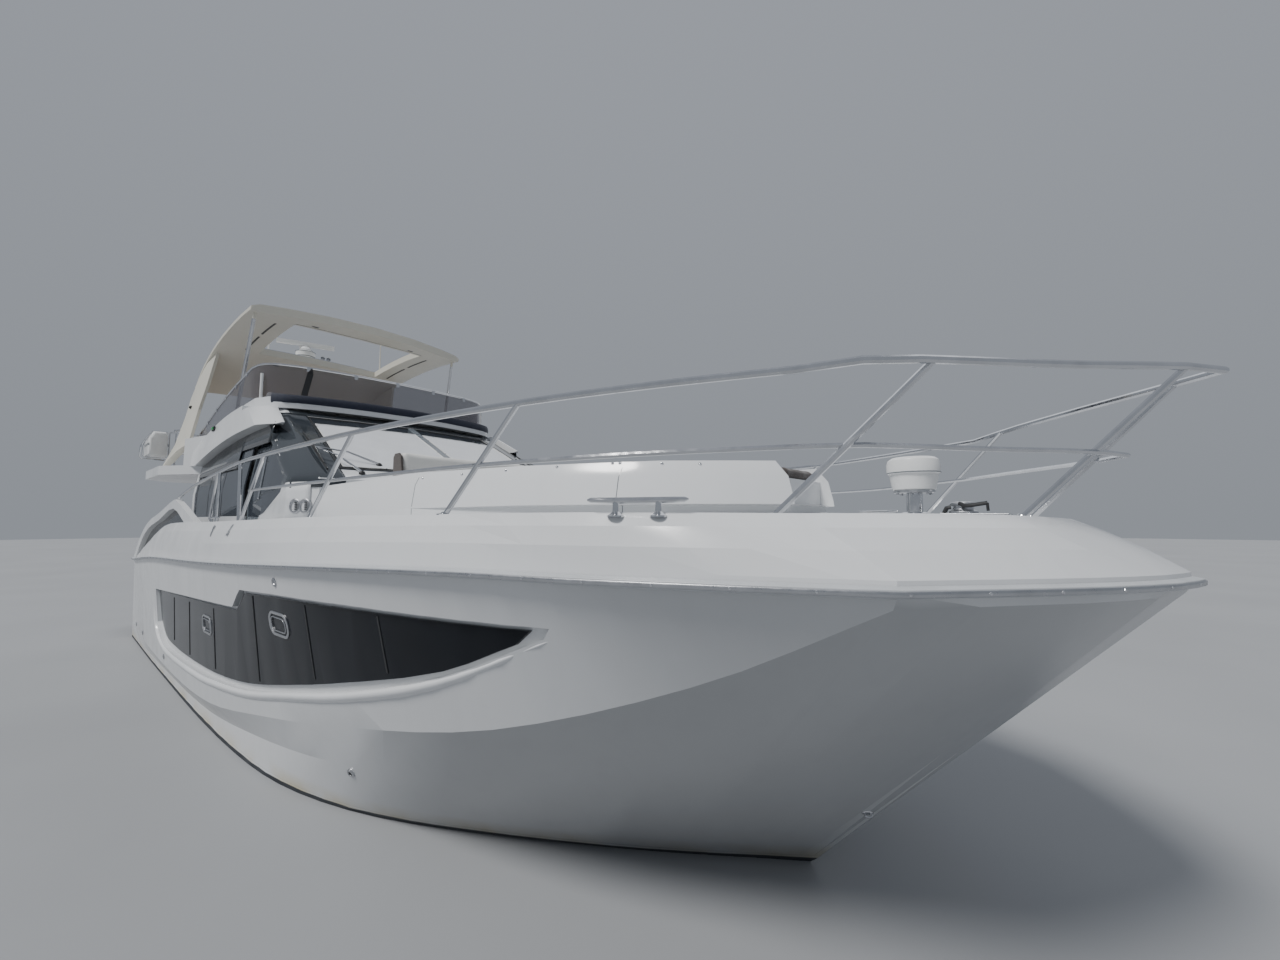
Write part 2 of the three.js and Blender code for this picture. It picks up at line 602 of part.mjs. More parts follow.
function windDeflector() {
  const path = deflectorPath(0);
  const rings = path.map(([x, y, low, high], i) => {
    const [before, after] = [path[Math.max(0, i - 1)], path[Math.min(path.length - 1, i + 1)]];
    const normal = new THREE.Vector2(after[1] - before[1], before[0] - after[0])
      .normalize().multiplyScalar(6);
    return [[x - normal.x, y - normal.y, low], [x + normal.x, y + normal.y, low],
      [x + normal.x, y + normal.y, high], [x - normal.x, y - normal.y, high]];
  });
  return seat(loft(rings), flybridge(), 0, 0, 1);
}

function deflectorRail() {
  return bar(deflectorPath(13.8).map(([x, y, , z]) => [x, y, z]), 14, { straight: true, steps: 12 });
}

// Hardtop, cambered along its length; rows are [x, height of its top]
const roofRows = smooth([[-850, 5085], [-2000, 5120], [-3200, 5060], [-4200, 4880], [-5000, 4620]], 3);
const ROOF_HALF = 1540;

function hardtop() {
  const shares = [-1, -0.94, -0.75, -0.4, 0, 0.4, 0.75, 0.94, 1];
  const rings = shares.map((share) => {
    const edge = Math.abs(share) === 1;
    const top = roofRows.map(([x, z], i) => {
      const nose = Math.max(0, 1 - i / 3) ** 2;
      const tail = Math.max(0, 1 - (roofRows.length - 1 - i) / 2);
      const shift = share ** 2 * (60 * tail - 220 * nose);
      return [x + shift, share * (ROOF_HALF - i * 4), z + 45 * (1 - share ** 2) - (edge ? 30 : 0)];
    });
    const under = top.map(([x, y, z], i) => {
      const pull = (i === 0 ? -25 : 0) + (i === roofRows.length - 1 ? 20 : 0);
      return [x + pull, y, z - (edge ? ROOF_THICK * 0.45 : ROOF_THICK)];
    });
    return [...top, ...under.reverse()];
  });
  const roof = cut(loft(rings), box(-3200, -1360, -950, 950, 4500, 5500));
  const poles = [roofPole(), mirrored(roofPole())];
  return join(roof, ...poles, antenna(-4800, 100), antenna(-3700, 1250));
}

// Hardtop legs; rows are [height, aft x, forward x, y]
const legRows = [[2960, -5350, -3300, 1850], [3180, -5150, -3420, 1790], [3500, -4960, -3600, 1690],
  [4000, -4920, -3760, 1585], [4400, -4960, -3700, 1510]];

function archLeg() {
  const half = 52;
  const ring = (z, aft, fore, y, under) => {
    const xs = [0, 0.33, 0.67, 1].map((t) => aft + (fore - aft) * t);
    const height = (x) => (under ? roofAt(x) - ROOF_THICK * 0.5 : z);
    const outer = xs.map((x, i) => [x, y + half * (i === 0 || i === 3 ? 0.4 : 1), height(x)]);
    const inner = xs.map((x, i) => [x, y - half * (i === 0 || i === 3 ? 0.4 : 1), height(x)]).reverse();
    return [...outer, ...inner];
  };
  const rings = legRows.map((row) => ring(...row, false));
  rings.push(ring(0, -4960, -3450, 1440, true));
  return seat(seat(loft(rings), flySolid(), 0, 0, 1), hardtop(), 0, 0, -1);
}

function roofAt(x) {
  return along([...roofRows].reverse().map(([u, z]) => [u, 0, z]), x)[2];
}

function roofPole() {
  const pole = bar([[-1600, 1535, flyTopAt(-1600) - 40], [-1180, 1470, 5030]], 20, { sides: 10 });
  return seat(pole, flybridge(), 0, 0, 1);
}

// Radar on its mast, behind the roof opening
const RADAR = { x: -4100, z: 5560 };

function radarMast() {
  const legs = [-1, 1].map((side) => bar([[-4150, side * 480, 4870], [-4100, side * 400, 5300]],
    24, { sides: 8 }));
  const plate = box(-4250, -3950, -430, 430, 5290, 5315);
  const dome = turned([[0, 5310], [130, 5310], [170, 5345], [165, 5440], [110, 5480], [70, 5545], [0, 5545]],
    RADAR.x, 0, 0);
  return seat(join(plate, dome, ...legs), hardtop(), 0, 0, 1);
}

function radarBar() {
  const hub = turned([[0, 5545 + GAP], [45, 5545 + GAP], [45, 5575], [0, 5575]], RADAR.x, 0, 0, 16);
  const arm = new THREE.BoxGeometry(85, 960, 75).translate(0, 0, 0);
  arm.rotateZ(-0.28).translate(RADAR.x, 0, RADAR.z + 45);
  return join(hub, arm);
}

function antenna(x, y) {
  const foot = roofAt(x) - 20;
  const profile = [[0, 0], [28, 0], [28, 90], [14, 110], [11, 700], [8, 1150],
    [0, 1150]].map(([r, h]) => [r, h + foot]);
  return turned(profile, x, y, 0, 8);
}

// Life raft case in its cradle, off the flybridge's aft starboard corner
const RAFT = { x: -5750, y: -1870, z: 3540 };
const raftSection = [[-130, -190], [-95, -233], [95, -233], [130, -195], [130, 195], [95, 233], [-70, 233],
  [-130, 115]];

function lifeRaft(grow = 0) {
  const rings = [[-300, 0.8], [-285, 0.93], [-250, 1], [250, 1], [285, 0.93],
    [300, 0.8]].map(([dx, share]) => {
    const size = share + grow / 130;
    const at = dx * (1 + grow / 300);
    return raftSection.map(([dy, dz]) => [RAFT.x + at, RAFT.y + dy * size, RAFT.z + dz * size]);
  });
  return solid(loft(rings));
}

function raftCradle() {
  const { x, y, z } = RAFT;
  const loop = [[155, -242], [-165, -242], [-200, -200], [-190, 0], [-137, 130], [-78, 247], [155, 247],
    [155, -242]];
  const loops = [-200, 200].map((dx) => bar(loop.map(([dy, dz]) => [x + dx, y + dy, z + dz]), 12,
    { sides: 6, straight: true }));
  const ties = [-242, 247].map((dz) => bar([[x - 200, y + 155, z + dz], [x + 200, y + 155, z + dz]],
    12, { sides: 6 }));
  const arms = [[247, 3780], [-242, 3400]].map(([dz, top]) => bar([[x + 200, y + 155, z + dz],
    [-5430, -1640, top]], 12, { sides: 6 }));
  return cut(join(...loops, ...ties, ...arms), lifeRaft(GAP));
}

function flyRail() {
  const z = 3780;
  const half = [[-5120, 1700], [-5430, 1640], [-5530, 1480], [-5530, 0]];
  const path = [...half, ...half.slice(0, -1).map(([x, y]) => [x, -y]).reverse()].map(([x, y]) => [x, y, z]);
  const posts = [[-5430, 1640], [-5530, 750], [-5530, -750], [-5430, -1640]]
    .map(([x, y]) => bar([[x, y, 2970], [x, y, z]], 15, { sides: 8 }));
  const middle = path.map(([x, y]) => [x, y, 3400]);
  const rails = [bar(path, 17, { steps: 28 }), bar(middle, 10, { steps: 28, sides: 6 })];
  return seat(join(...rails, ...posts, raftCradle()), flybridge(), 0, 0, 1);
}

// Flybridge fittings
function flyConsole() {
  const profile = [[-1230, FLY_FLOOR_Z - 5], [-690, FLY_FLOOR_Z - 5], [-690, 3830], [-850, 3850],
    [-1180, 3700], [-1250, 3600]];
  return prism(profile, 'Y', -1350, -250);
}

function flySeat() {
  const base = box(-2250, -1950, -1150, -450, FLY_FLOOR_Z - 5, 3450);
  const pad = box(-2320, -1850, -1200, -400, 3440, 3560);
  const back = prism([[-2330, 3450], [-2240, 3450], [-2330, 4000], [-2420, 4000]], 'Y', -1180, -420);
  return join(base, pad, back);
}

function flySofa() {
  const seatBase = box(-3200, -1500, 830, 1485, FLY_FLOOR_Z - 5, 3400);
  const back = box(-3200, -1500, 1330, 1450, 3390, 3560);
  return join(seatBase, back);
}

function flyTable() {
  const top = prism(rounded(-2350, 450, 520, 300, 60), 'Z', 3660, 3700);
  return join(top, turned([[0, FLY_FLOOR_Z - 5], [160, FLY_FLOOR_Z - 5], [160, 3020], [45, 3040], [45, 3670],
    [0, 3670]],
    -2350, 450, 0, 12));
}

function stairHatch() {
  const plate = box(HATCH.x0 + 6, HATCH.x1 - 6, HATCH.y0 + 6, HATCH.y1 - 6, FLY_FLOOR_Z - 40, FLY_FLOOR_Z);
  const barrel = new THREE.CylinderGeometry(5.6, 5.6, 1000, 12).rotateZ(Math.PI / 2)
    .translate((HATCH.x0 + HATCH.x1) / 2, HATCH.y1 - 6, FLY_FLOOR_Z);
  return join(plate, barrel);
}

// Cockpit fittings
function stairs() {
  const count = 6;
  const rise = (FLY_UNDER_Z - SOLE_Z) / (count + 1);
  const treads = [...Array(count).keys()].map((k) =>
    box(-3350 - 190 * k - 240, -3350 - 190 * k, 1010, 1500, SOLE_Z + rise * (k + 1) - 35,
      SOLE_Z + rise * (k + 1)));
  const line = [[-3290, SOLE_Z + GAP], [-3110, SOLE_Z + GAP], [-4490, FLY_UNDER_Z - GAP],
    [-4670, FLY_UNDER_Z - GAP]];
  const stringers = [990, 1480].map((y) => prism(line, 'Y', y, y + 40));
  return join(...treads, ...stringers);
}

function cockpitTable() {
  const top = prism(rounded(-4700, -200, 260, 520, 80), 'Z', 1640, 1680);
  const leg = turned([[0, SOLE_Z + GAP], [150, SOLE_Z + GAP], [150, 975], [40, 990], [40, 1650], [0, 1650]],
    -4700, -200, 0, 12);
  return join(top, leg);
}

function gate() {
  const leaf = prism([[STAIR_IN + 8, SOLE_Z + 6], [STAIR_OUT - 6, SOLE_Z + 6], [STAIR_OUT - 6, 1450],
    [STAIR_IN + 8, 1560]], 'X', -5735, -5700);
  const barrel = turned([[0, 970], [5.6, 970], [5.6, 1540], [0, 1540]], -5700, STAIR_IN + 6, 0, 12);
  return join(leaf, barrel);
}

// Saloon fittings on their floor, seen through the glass
function saloon() {
  const low = SOLE_Z + GAP;
  const floor = box(-2900, 880, -1440, 1440, low, 970);
  const console = prism([[450, low], [870, low], [870, 2150], [790, 2200], [500, 2100], [450, 1900]],
    'Y', -1380, -350);
  const seat = join(box(-350, 50, -1250, -550, low, 1500), box(-440, -340, -1250, -550, 1450, 2150));
  const sofa = join(box(-2300, 300, 750, 1430, low, 1400), box(-2300, 300, 1290, 1430, 1390, 1850));
  const galley = box(-2700, -900, -1430, -850, low, 1870);
  return join(floor, console, seat, sofa, galley);
}

// Foredeck fittings
function sunpad() {
  return loft([padRing(0, 2260 + GAP), padRing(-8, 2300), padRing(8, 2385)]);
}

function padRing(shrink, z) {
  const half = [[5150 - shrink, 0], [5150 - shrink, 560 - shrink], [4700, 760 - shrink],
    [3500, 1030 - shrink], [2620 + shrink, 1150 - shrink], [2620 + shrink, 0]];
  return mirrorPlan(half).map(([x, y]) => [x, y, z]);
}

function backrest() {
  const plan = [[2360, -1050], [2500, -1080], [2560, 0], [2500, 1080], [2360, 1050], [2300, 0]];
  return seat(prism(plan, 'Z', 2300, 2790), lounge(), 0, 0, 1);
}

function foreSeat() {
  const low = [[5300, -520], [5560, -310], [5760, -110], [5780, 0], [5760, 110], [5560, 310], [5300, 520]];
  const cap = [[5620, -240], [5960, -240], [5975, -200], [5975, 200], [5960, 240], [5620, 240]];
  return join(prism(low, 'Z', 2260 + GAP, 2400 + GAP), prism(cap, 'Z', NOSE.z + GAP, 2468));
}

function searchlight() {
  const x = 6630;
  const profile = [[0, 2100], [40, 2100], [40, 2288], [104, 2288], [104, 2302], [112, 2306], [118, 2330],
    [130, 2392], [141, 2402], [142, 2446], [134, 2474], [112, 2490], [0, 2497]];
  return seat(turned(profile, x, 0, 0, 20), deckSolid(), 0, 0, 1);
}

// Bow rail of bent tube; posts are [foot x, foot y, top x, top y, top z]
const topRail = [[-1700, 2052, 2440], [-850, 2052, 2545], [530, 2052, 2640], [1330, 2052, 2680],
  [2130, 2060, 2682], [3890, 2010, 2683], [5345, 1827, 2685], [6030, 1605, 2703], [6650, 1340, 2722],
  [6800, 1290, 2730], [6960, 1075, 2746], [7360, 590, 2760], [7730, 187, 2773], [7861, 0, 2773]];
const midRail = [[1700, 2052, 2400], [3100, 2020, 2400], [4420, 1950, 2400], [5085, 1857, 2405],
  [5940, 1630, 2410], [6490, 1300, 2425], [6660, 1194, 2429], [7100, 640, 2430], [7414, 263, 2431],
  [7538, 0, 2430]];
const posts = [[1400, 2052, 1340, 2052, 2680], [1400, 2052, 2130, 2060, 2682], [520, 2052, 530, 2052, 2640],
  [160, 2052, 450, 2052, 2632], [3060, 2012, 3865, 2010, 2685], [4734, 1900, 5345, 1827, 2685],
  [6330, 1327, 6960, 1075, 2746], [7092, 284, 7730, 187, 2773]];

const railTube = (line, radius, detail) =>
  bar([...line, ...line.slice(0, -1).map(([x, y, z]) => [x, -y, z]).reverse()], radius, detail);
const topTube = (grow) => railTube(topRail, RAIL_RADIUS + grow, { steps: 84 });

function postTube([fx, fy, tx, ty, tz]) {
  return bar([[fx, fy, 2080], [tx, ty, tz]], RAIL_RADIUS - 2, { sides: 8 });
}

// The top rail with its upright posts
function bowRail() {
  const upright = posts.filter(([fx, , tx]) => Math.abs(tx - fx) < 300).map(postTube);
  return seat(join(topTube(0), ...upright, ...upright.map(mirrored)), deck(), 0, 0, 1);
}

// One side of the mid rail with the raked posts that carry it
function rakedPosts() {
  const raked = posts.filter(([fx, , tx]) => Math.abs(tx - fx) >= 300).map(postTube);
  const half = overlap(railTube(midRail, RAIL_RADIUS - 5, { steps: 56, sides: 6 }),
    box(1000, 9000, GAP / 2, 2500, 2000, 3000));
  return seat(cut(join(half, ...raked), topTube(GAP)), deck(), 0, 0, 1);
}

// Swim platform on its brackets
function swimPlatform() {
  const aft = rounded(-6975, 0, 775, 1850, 420, 4).map(([x, y]) => [x > -6975 ? TRANSOM_X - GAP : x, y]);
  const plan = aft.filter(([x, y], i) => i === 0 || x !== aft[i - 1][0] || y !== aft[i - 1][1]);
  const top = prism(plan, 'Z', PLATFORM_Z - 90, PLATFORM_Z);
  const bracket = [[TRANSOM_X - GAP, PLATFORM_Z - 60], [TRANSOM_X - GAP, -150], [-6400, -100],
    [-7300, PLATFORM_Z - 60]];
  return join(top, prism(bracket, 'Y', 700, 760), prism(bracket, 'Y', -760, -700));
}

// Running gear
const PROP = { x: -5200, z: -800, radius: 300 };
const shaftZ = (x) => PROP.z + (x - PROP.x) * SHAFT_SLOPE;
const SHAFT_START_X = -3300;
const SHAFT_RADIUS = 25;

function shaft() {
  const end = PROP.x + 94.3;
  return bar([[end, SHAFT_Y, shaftZ(end)], [SHAFT_START_X - GAP, SHAFT_Y, shaftZ(SHAFT_START_X - GAP)]],
    SHAFT_RADIUS, { sides: 16 });
}

function sternTube() {
  return bar([[SHAFT_START_X, SHAFT_Y, shaftZ(SHAFT_START_X)], [-2400, SHAFT_Y, shaftZ(-2400)]],
    42, { sides: 12 });
}

function strut() {
  const x = -4960;
  const ring = cut(bar([[x - 90, SHAFT_Y, shaftZ(x - 90)], [x + 90, SHAFT_Y, shaftZ(x + 90)]],
    46, { sides: 16 }),
    bar([[x - 200, SHAFT_Y, shaftZ(x - 200)], [x + 200, SHAFT_Y, shaftZ(x + 200)]],
    SHAFT_RADIUS + 1.2, { sides: 16 }));
  const arm = prism([[x - 70, SHAFT_Y - 9], [x, SHAFT_Y - 14], [x + 80, SHAFT_Y], [x, SHAFT_Y + 14],
    [x - 70, SHAFT_Y + 9]],
    'Z', shaftZ(x) + 40, -300);
  return seat(join(ring, arm), hullBody, 0, 0, -1);
}

function propeller(hand) {
  const blades = [0, 1, 2, 3].map((k) => {
    const rows = [[30, 95, 62, 22], [130, 125, 40, 12], [230, 120, 28, 8], [PROP.radius - 2, 40, 22, 4]];
    const rings = rows.map(([r, chord, pitch, thick]) => {
      const a = (pitch * Math.PI) / 180;
      return [[chord, 0], [0, thick], [-chord, 0], [0, -thick]].map(([u, v]) => {
        const along0 = u * Math.sin(a) + v * Math.cos(a);
        const side = (u * Math.cos(a) - v * Math.sin(a)) * hand;
        const spread = side / r;
        return [along0 * 0.9, r * Math.sin(spread), r * Math.cos(spread)];
      });
    });
    return solid(loft(rings)).rotate([k * 90, 0, 0]);
  });
  const hub = turnedAlong([[0, -95], [52, -80], [62, 0], [52, 80], [SHAFT_RADIUS + 6, 95], [0, 95]],
    [0, 0, 0], [1, 0, 0], 16);
  const body = join(hub, ...blades).rotate([0, (-Math.atan(SHAFT_SLOPE) * 180) / Math.PI, 0]);
  return body.translate([PROP.x, SHAFT_Y, PROP.z]);
}

function rudder() {
  const x = -5760;
  const ring = (z, lead, trail, thick) => [[x + lead, SHAFT_Y, z], [x + lead * 0.6, SHAFT_Y + thick, z],
    [x - trail * 0.4, SHAFT_Y + thick * 0.8, z], [x - trail, SHAFT_Y + 3, z], [x - trail, SHAFT_Y - 3, z],
    [x - trail * 0.4, SHAFT_Y - thick * 0.8, z], [x + lead * 0.6, SHAFT_Y - thick, z]];
  const blade = loft([ring(-1080, 110, 250, 20), ring(-520, 130, 300, 30)]);
  return join(blade, turned([[0, -900], [26, -900], [26, -480 - GAP], [0, -480 - GAP]], x, SHAFT_Y, 0, 14));
}

function rudderBoss() {
  return turned([[0, -480], [55, -480], [60, -250], [0, -250]], -5760, SHAFT_Y, 0, 14);
}

// Assembly
const underwater = [sternTube(), rudderBoss()];
const hullBody = join(hull(), transomBlock(), ...underwater, ...underwater.map(mirrored));
const aftOfDoor = box(-4000, DOOR.x0 - GAP, -3000, 0, 0, 5000);
const aheadOfDoor = box(DOOR.x1 + GAP, 4000, -3000, 0, 0, 5000);

part('hull', hullWhite, hullBody);
part('deck', gelcoat, deck());
part('rub_rail', rubber, rubRail());
pair('hull_window', darkGlass, hullWindow());
pair('cockpit_glass', darkGlass, hoopGlass());
part('swim_platform', gelcoat, swimPlatform());
pair('transom_gate', gelcoat, gate());
part('locker_lid', gelcoat, lockerLid());

part('deckhouse', gelcoat, house());
part('windscreen', tintGlass, windscreen());
part('side_glass_port', tintGlass, sideGlass());
part('side_glass_stbd', tintGlass, overlap(mirrored(sideGlass()), aftOfDoor));
part('corner_glass_stbd', tintGlass, overlap(mirrored(sideGlass()), aheadOfDoor));
part('helm_door', tintGlass, helmDoor());
part('saloon_bulkhead', gelcoat, bulkhead());
part('saloon_door', tintGlass, saloonDoor());
part('saloon_interior', grey, saloon());

part('lounge', gelcoat, lounge());
part('sunpad', vinyl, sunpad());
part('backrest', brown, backrest());
part('fore_seat', brown, foreSeat());
part('searchlight', vinyl, searchlight());
part('bow_rail', stainless, bowRail());
pair('rail_posts', stainless, rakedPosts());

part('flybridge', gelcoat, flybridge());
pair('fascia', gelcoat, fascia());
part('wind_deflector', smoke, windDeflector());
part('deflector_rail', stainless, deflectorRail());
part('stair_hatch', gelcoat, stairHatch());
part('fly_rail', stainless, flyRail());
part('life_raft', vinyl, lifeRaft());

part('hardtop', cream, hardtop());
pair('arch_leg', cream, archLeg());
part('radar_mast', stainless, radarMast());
part('radar_bar', gelcoat, radarBar());

part('stairs', teak, stairs());
part('cockpit_table', teak, cockpitTable());

pair('shaft', stainless, shaft());
pair('strut', bronze, strut());
part('propeller_port', bronze, propeller(1));
part('propeller_stbd', bronze, mirrored(propeller(1)));
pair('rudder', bronze, rudder());

export default yacht;
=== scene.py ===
import bpy
import bmesh
import math
from mathutils import Vector, Matrix
from mathutils.bvhtree import BVHTree


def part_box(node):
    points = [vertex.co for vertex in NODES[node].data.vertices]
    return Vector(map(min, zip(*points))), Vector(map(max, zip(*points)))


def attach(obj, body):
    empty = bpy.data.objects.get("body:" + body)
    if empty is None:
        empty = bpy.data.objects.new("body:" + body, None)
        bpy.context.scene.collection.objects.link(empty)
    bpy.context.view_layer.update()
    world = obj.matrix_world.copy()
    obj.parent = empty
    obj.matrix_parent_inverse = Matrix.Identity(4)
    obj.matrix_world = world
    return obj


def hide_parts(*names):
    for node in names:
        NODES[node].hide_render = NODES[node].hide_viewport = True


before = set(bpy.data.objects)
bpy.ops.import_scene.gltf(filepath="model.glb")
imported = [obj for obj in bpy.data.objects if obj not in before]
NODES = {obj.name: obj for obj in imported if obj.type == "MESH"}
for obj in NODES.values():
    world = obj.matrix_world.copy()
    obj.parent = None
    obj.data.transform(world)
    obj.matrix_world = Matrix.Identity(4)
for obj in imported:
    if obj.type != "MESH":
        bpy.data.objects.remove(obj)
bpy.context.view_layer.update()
scene = bpy.context.scene
UP = Vector((0, 0, 1))
BOW = Vector((1, 0, 0))
PORT = Vector((0, 1, 0))
SIDES = (-1, 1)


# Materials: every one is built from noise and bump on object coordinates
class Graph:
    def __init__(self, name):
        self.material = bpy.data.materials.new(name)
        self.material.use_nodes = True
        self.tree = self.material.node_tree
        self.tree.nodes.clear()
        out = self.add("OutputMaterial")
        self.shader = self.add("BsdfPrincipled")
        self.tree.links.new(self.shader.outputs[0], out.inputs[0])
        self.coord = self.add("TexCoord").outputs["Object"]

    def link(self, value, socket):
        if isinstance(value, bpy.types.NodeSocket):
            self.tree.links.new(value, socket)
        elif isinstance(value, (tuple, list)) and len(value) == 3 and socket.type == "RGBA":
            socket.default_value = (*value, 1)
        else:
            socket.default_value = value

    def set(self, **sockets):
        for name, value in sockets.items():
            self.link(value, self.shader.inputs[name.replace("_", " ")])

    def add(self, kind, **inputs):
        node = self.tree.nodes.new("ShaderNode" + kind)
        for name, value in inputs.items():
            self.link(value, node.inputs[name])
        return node

    def stretched(self, scale):
        return self.add("Mapping", Vector=self.coord, Scale=scale).outputs[0]

    def noise(self, scale, detail=3, vector=None, rough=0.5):
        node = self.add("TexNoise", Vector=vector or self.coord, Scale=scale, Detail=detail, Roughness=rough)
        return node.outputs["Fac"]

    def cells(self, scale):
        return self.add("TexVoronoi", Vector=self.coord, Scale=scale).outputs["Distance"]

    def wave(self, scale, direction):
        node = self.add("TexWave", Vector=self.coord, Scale=scale, Distortion=0.6)
        node.bands_direction = direction
        return node.outputs["Fac"]

    def math(self, kind, *values):
        node = self.add("Math")
        node.operation = kind
        for socket, value in zip(node.inputs, values):
            self.link(value, socket)
        return node.outputs[0]

    def span(self, value, low, high, to_low=0.0, to_high=1.0):
        node = self.add("MapRange")
        for socket, number in zip(node.inputs, (value, low, high, to_low, to_high)):
            self.link(number, socket)
        return node.outputs[0]

    def varied(self, scale, detail, low=0.0, high=1.0):
        return self.span(self.noise(scale, detail), 0.3, 0.7, low, high)

    def mix(self, share, a, b):
        node = self.add("Mix")
        node.data_type = "RGBA"
        for index, value in ((0, share), (6, a), (7, b)):
            self.link(value, node.inputs[index])
        return node.outputs[2]

    def part(self, vector, axis):
        return self.add("SeparateXYZ", Vector=vector).outputs[axis]

    def facing_up(self):
        return self.part(self.add("NewGeometry").outputs["Normal"], "Z")

    def bump(self, height, strength, distance=0.01):
        node = self.add("Bump", Height=height, Strength=strength, Distance=distance)
        self.link(node.outputs[0], self.shader.inputs["Normal"])


def shade(color, factor):
    return tuple(min(1.0, c * factor) for c in color)


def gelcoat(name, base, low=0.12, high=0.24, nonskid=False, afloat_with_painted_shade=False):
    g = Graph(name)
    color = g.mix(g.varied(0.9, 4), shade(base, 0.965), shade(base, 1.02))
    streaks = g.span(g.noise(1.0, 4, g.stretched((7, 7, 0.55))), 0.52, 0.8)
    color = g.mix(g.math("MULTIPLY", streaks, 0.22), color, shade(base, 0.86))
    rough = g.varied(3.0, 4, low, high)
    height = g.noise(26, 2)
    if nonskid:
        flat = g.span(g.facing_up(), 0.955, 0.985)
        height = g.math("MULTIPLY_ADD", g.cells(170), flat, g.math("MULTIPLY", height, 0.2))
        color = g.mix(g.math("MULTIPLY", flat, 0.35), color, shade(base, 0.9))
        rough = g.math("MULTIPLY_ADD", flat, 0.25, rough)
    if afloat_with_painted_shade:
        # A yellowed band over the waterline, dull bottom paint under it, and painted shade where the topsides
        # flare: faces that look down are darkened
        z = g.part(g.coord, "Z")
        stain = g.math("MULTIPLY", g.span(z, 0.17, 0.03), g.span(g.noise(2.2, 5), 0.35, 0.65))
        color = g.mix(g.math("MULTIPLY", stain, 0.75), color, (0.5, 0.43, 0.24))
        paint = g.mix(g.span(g.noise(5, 5), 0.35, 0.65), (0.022, 0.026, 0.034), (0.045, 0.05, 0.058))
        edge = g.math("ADD", z, g.math("MULTIPLY", g.noise(3, 3), 0.02))
        color = g.mix(g.span(edge, 0.052, 0.045), color, paint)
        rough = g.math("ADD", g.span(z, 0.045, 0.055, 0.55, 0.0), rough)
        # Painted shade: faces turned downwards are mixed towards dark grey, standing in for the shade under
        # the flare
        color = g.mix(g.span(g.facing_up(), -0.4, -0.6), color, g.mix(0.42, color, (0.05, 0.055, 0.06)))
    g.set(Base_Color=color, Roughness=rough)
    g.bump(height, 0.12 if nonskid else 0.03, 0.0015 if nonskid else 0.002)
    return g.material


def metal(name, base, low, high, grain=0.04):
    g = Graph(name)
    color = g.mix(g.varied(9, 4), shade(base, 0.9), shade(base, 1.04))
    g.set(Base_Color=color, Roughness=g.varied(30, 4, low, high), Metallic=1.0)
    g.bump(g.noise(160, 3), grain, 0.0006)
    return g.material


def glass(name, base, alpha, low=0.02, high=0.07, mirror=0.5):
    g = Graph(name)
    color = g.mix(g.varied(0.8, 3), shade(base, 0.85), shade(base, 1.15))
    g.set(Base_Color=color, Roughness=g.span(g.noise(2.5, 5), 0.3, 0.75, low, high), Alpha=alpha, IOR=1.5,
          Specular_IOR_Level=mirror)
    g.bump(g.noise(1.6, 2), 0.015, 0.01)
    return g.material


def plastic(name, base, low, high, grain=(220, 0.08)):
    g = Graph(name)
    color = g.mix(g.varied(6, 4), shade(base, 0.93), shade(base, 1.04))
    g.set(Base_Color=color, Roughness=g.varied(12, 4, low, high))
    g.bump(g.noise(grain[0], 3), grain[1], 0.0008)
    return g.material


def woven(name, base, pitch=420, low=0.75, high=0.95, depth=0.35):
    g = Graph(name)
    threads = g.math("MAXIMUM", g.wave(pitch, "X"), g.wave(pitch, "Y"))
    cloth = g.math("MAXIMUM", threads, g.wave(pitch, "Z"))
    color = g.mix(cloth, shade(base, 0.72), shade(base, 1.12))
    color = g.mix(g.varied(5, 4, 0.0, 0.35), color, shade(base, 0.85))
    g.set(Base_Color=color, Roughness=g.varied(40, 3, low, high), Sheen_Weight=0.25)
    g.bump(g.math("ADD", cloth, g.math("MULTIPLY", g.noise(14, 3), 0.8)), depth, 0.0012)
    return g.material


def leather(name, base, low=0.42, high=0.6):
    g = Graph(name)
    pores = g.cells(330)
    color = g.mix(g.span(pores, 0.0, 0.5), shade(base, 0.88), shade(base, 1.02))
    color = g.mix(g.span(g.noise(3, 5), 0.35, 0.7, 0.0, 0.4), color, shade(base, 0.9))
    g.set(Base_Color=color, Roughness=g.varied(18, 4, low, high))
    g.bump(g.math("ADD", pores, g.math("MULTIPLY", g.noise(9, 4), 1.4)), 0.22, 0.0014)
    return g.material


def wood(name, base, plank=0.06, seam=0.006):
    g = Graph(name)
    grain = g.noise(1.0, 6, g.stretched((3, 60, 60)), 0.65)
    color = g.mix(g.span(grain, 0.3, 0.7), shade(base, 0.72), shade(base, 1.2))
    lanes = g.math("DIVIDE", g.part(g.coord, "Y"), plank)
    tone = g.add("TexWhiteNoise")
    tone.noise_dimensions = "1D"
    g.link(g.math("FLOOR", lanes), tone.inputs["W"])
    color = g.mix(g.math("MULTIPLY", tone.outputs["Value"], 0.4), color, shade(base, 0.8))
    place = g.math("ABSOLUTE", g.math("SUBTRACT", g.math("FRACT", lanes), 0.5))
    line = g.span(place, 0.5 - seam / plank / 2 - 0.02, 0.5 - seam / plank / 2)
    color = g.mix(line, color, (0.02, 0.02, 0.02))
    g.set(Base_Color=color, Roughness=g.span(grain, 0.3, 0.7, 0.55, 0.75))
    g.bump(g.math("SUBTRACT", g.math("MULTIPLY", grain, 0.4), line), 0.3, 0.0015)
    return g.material


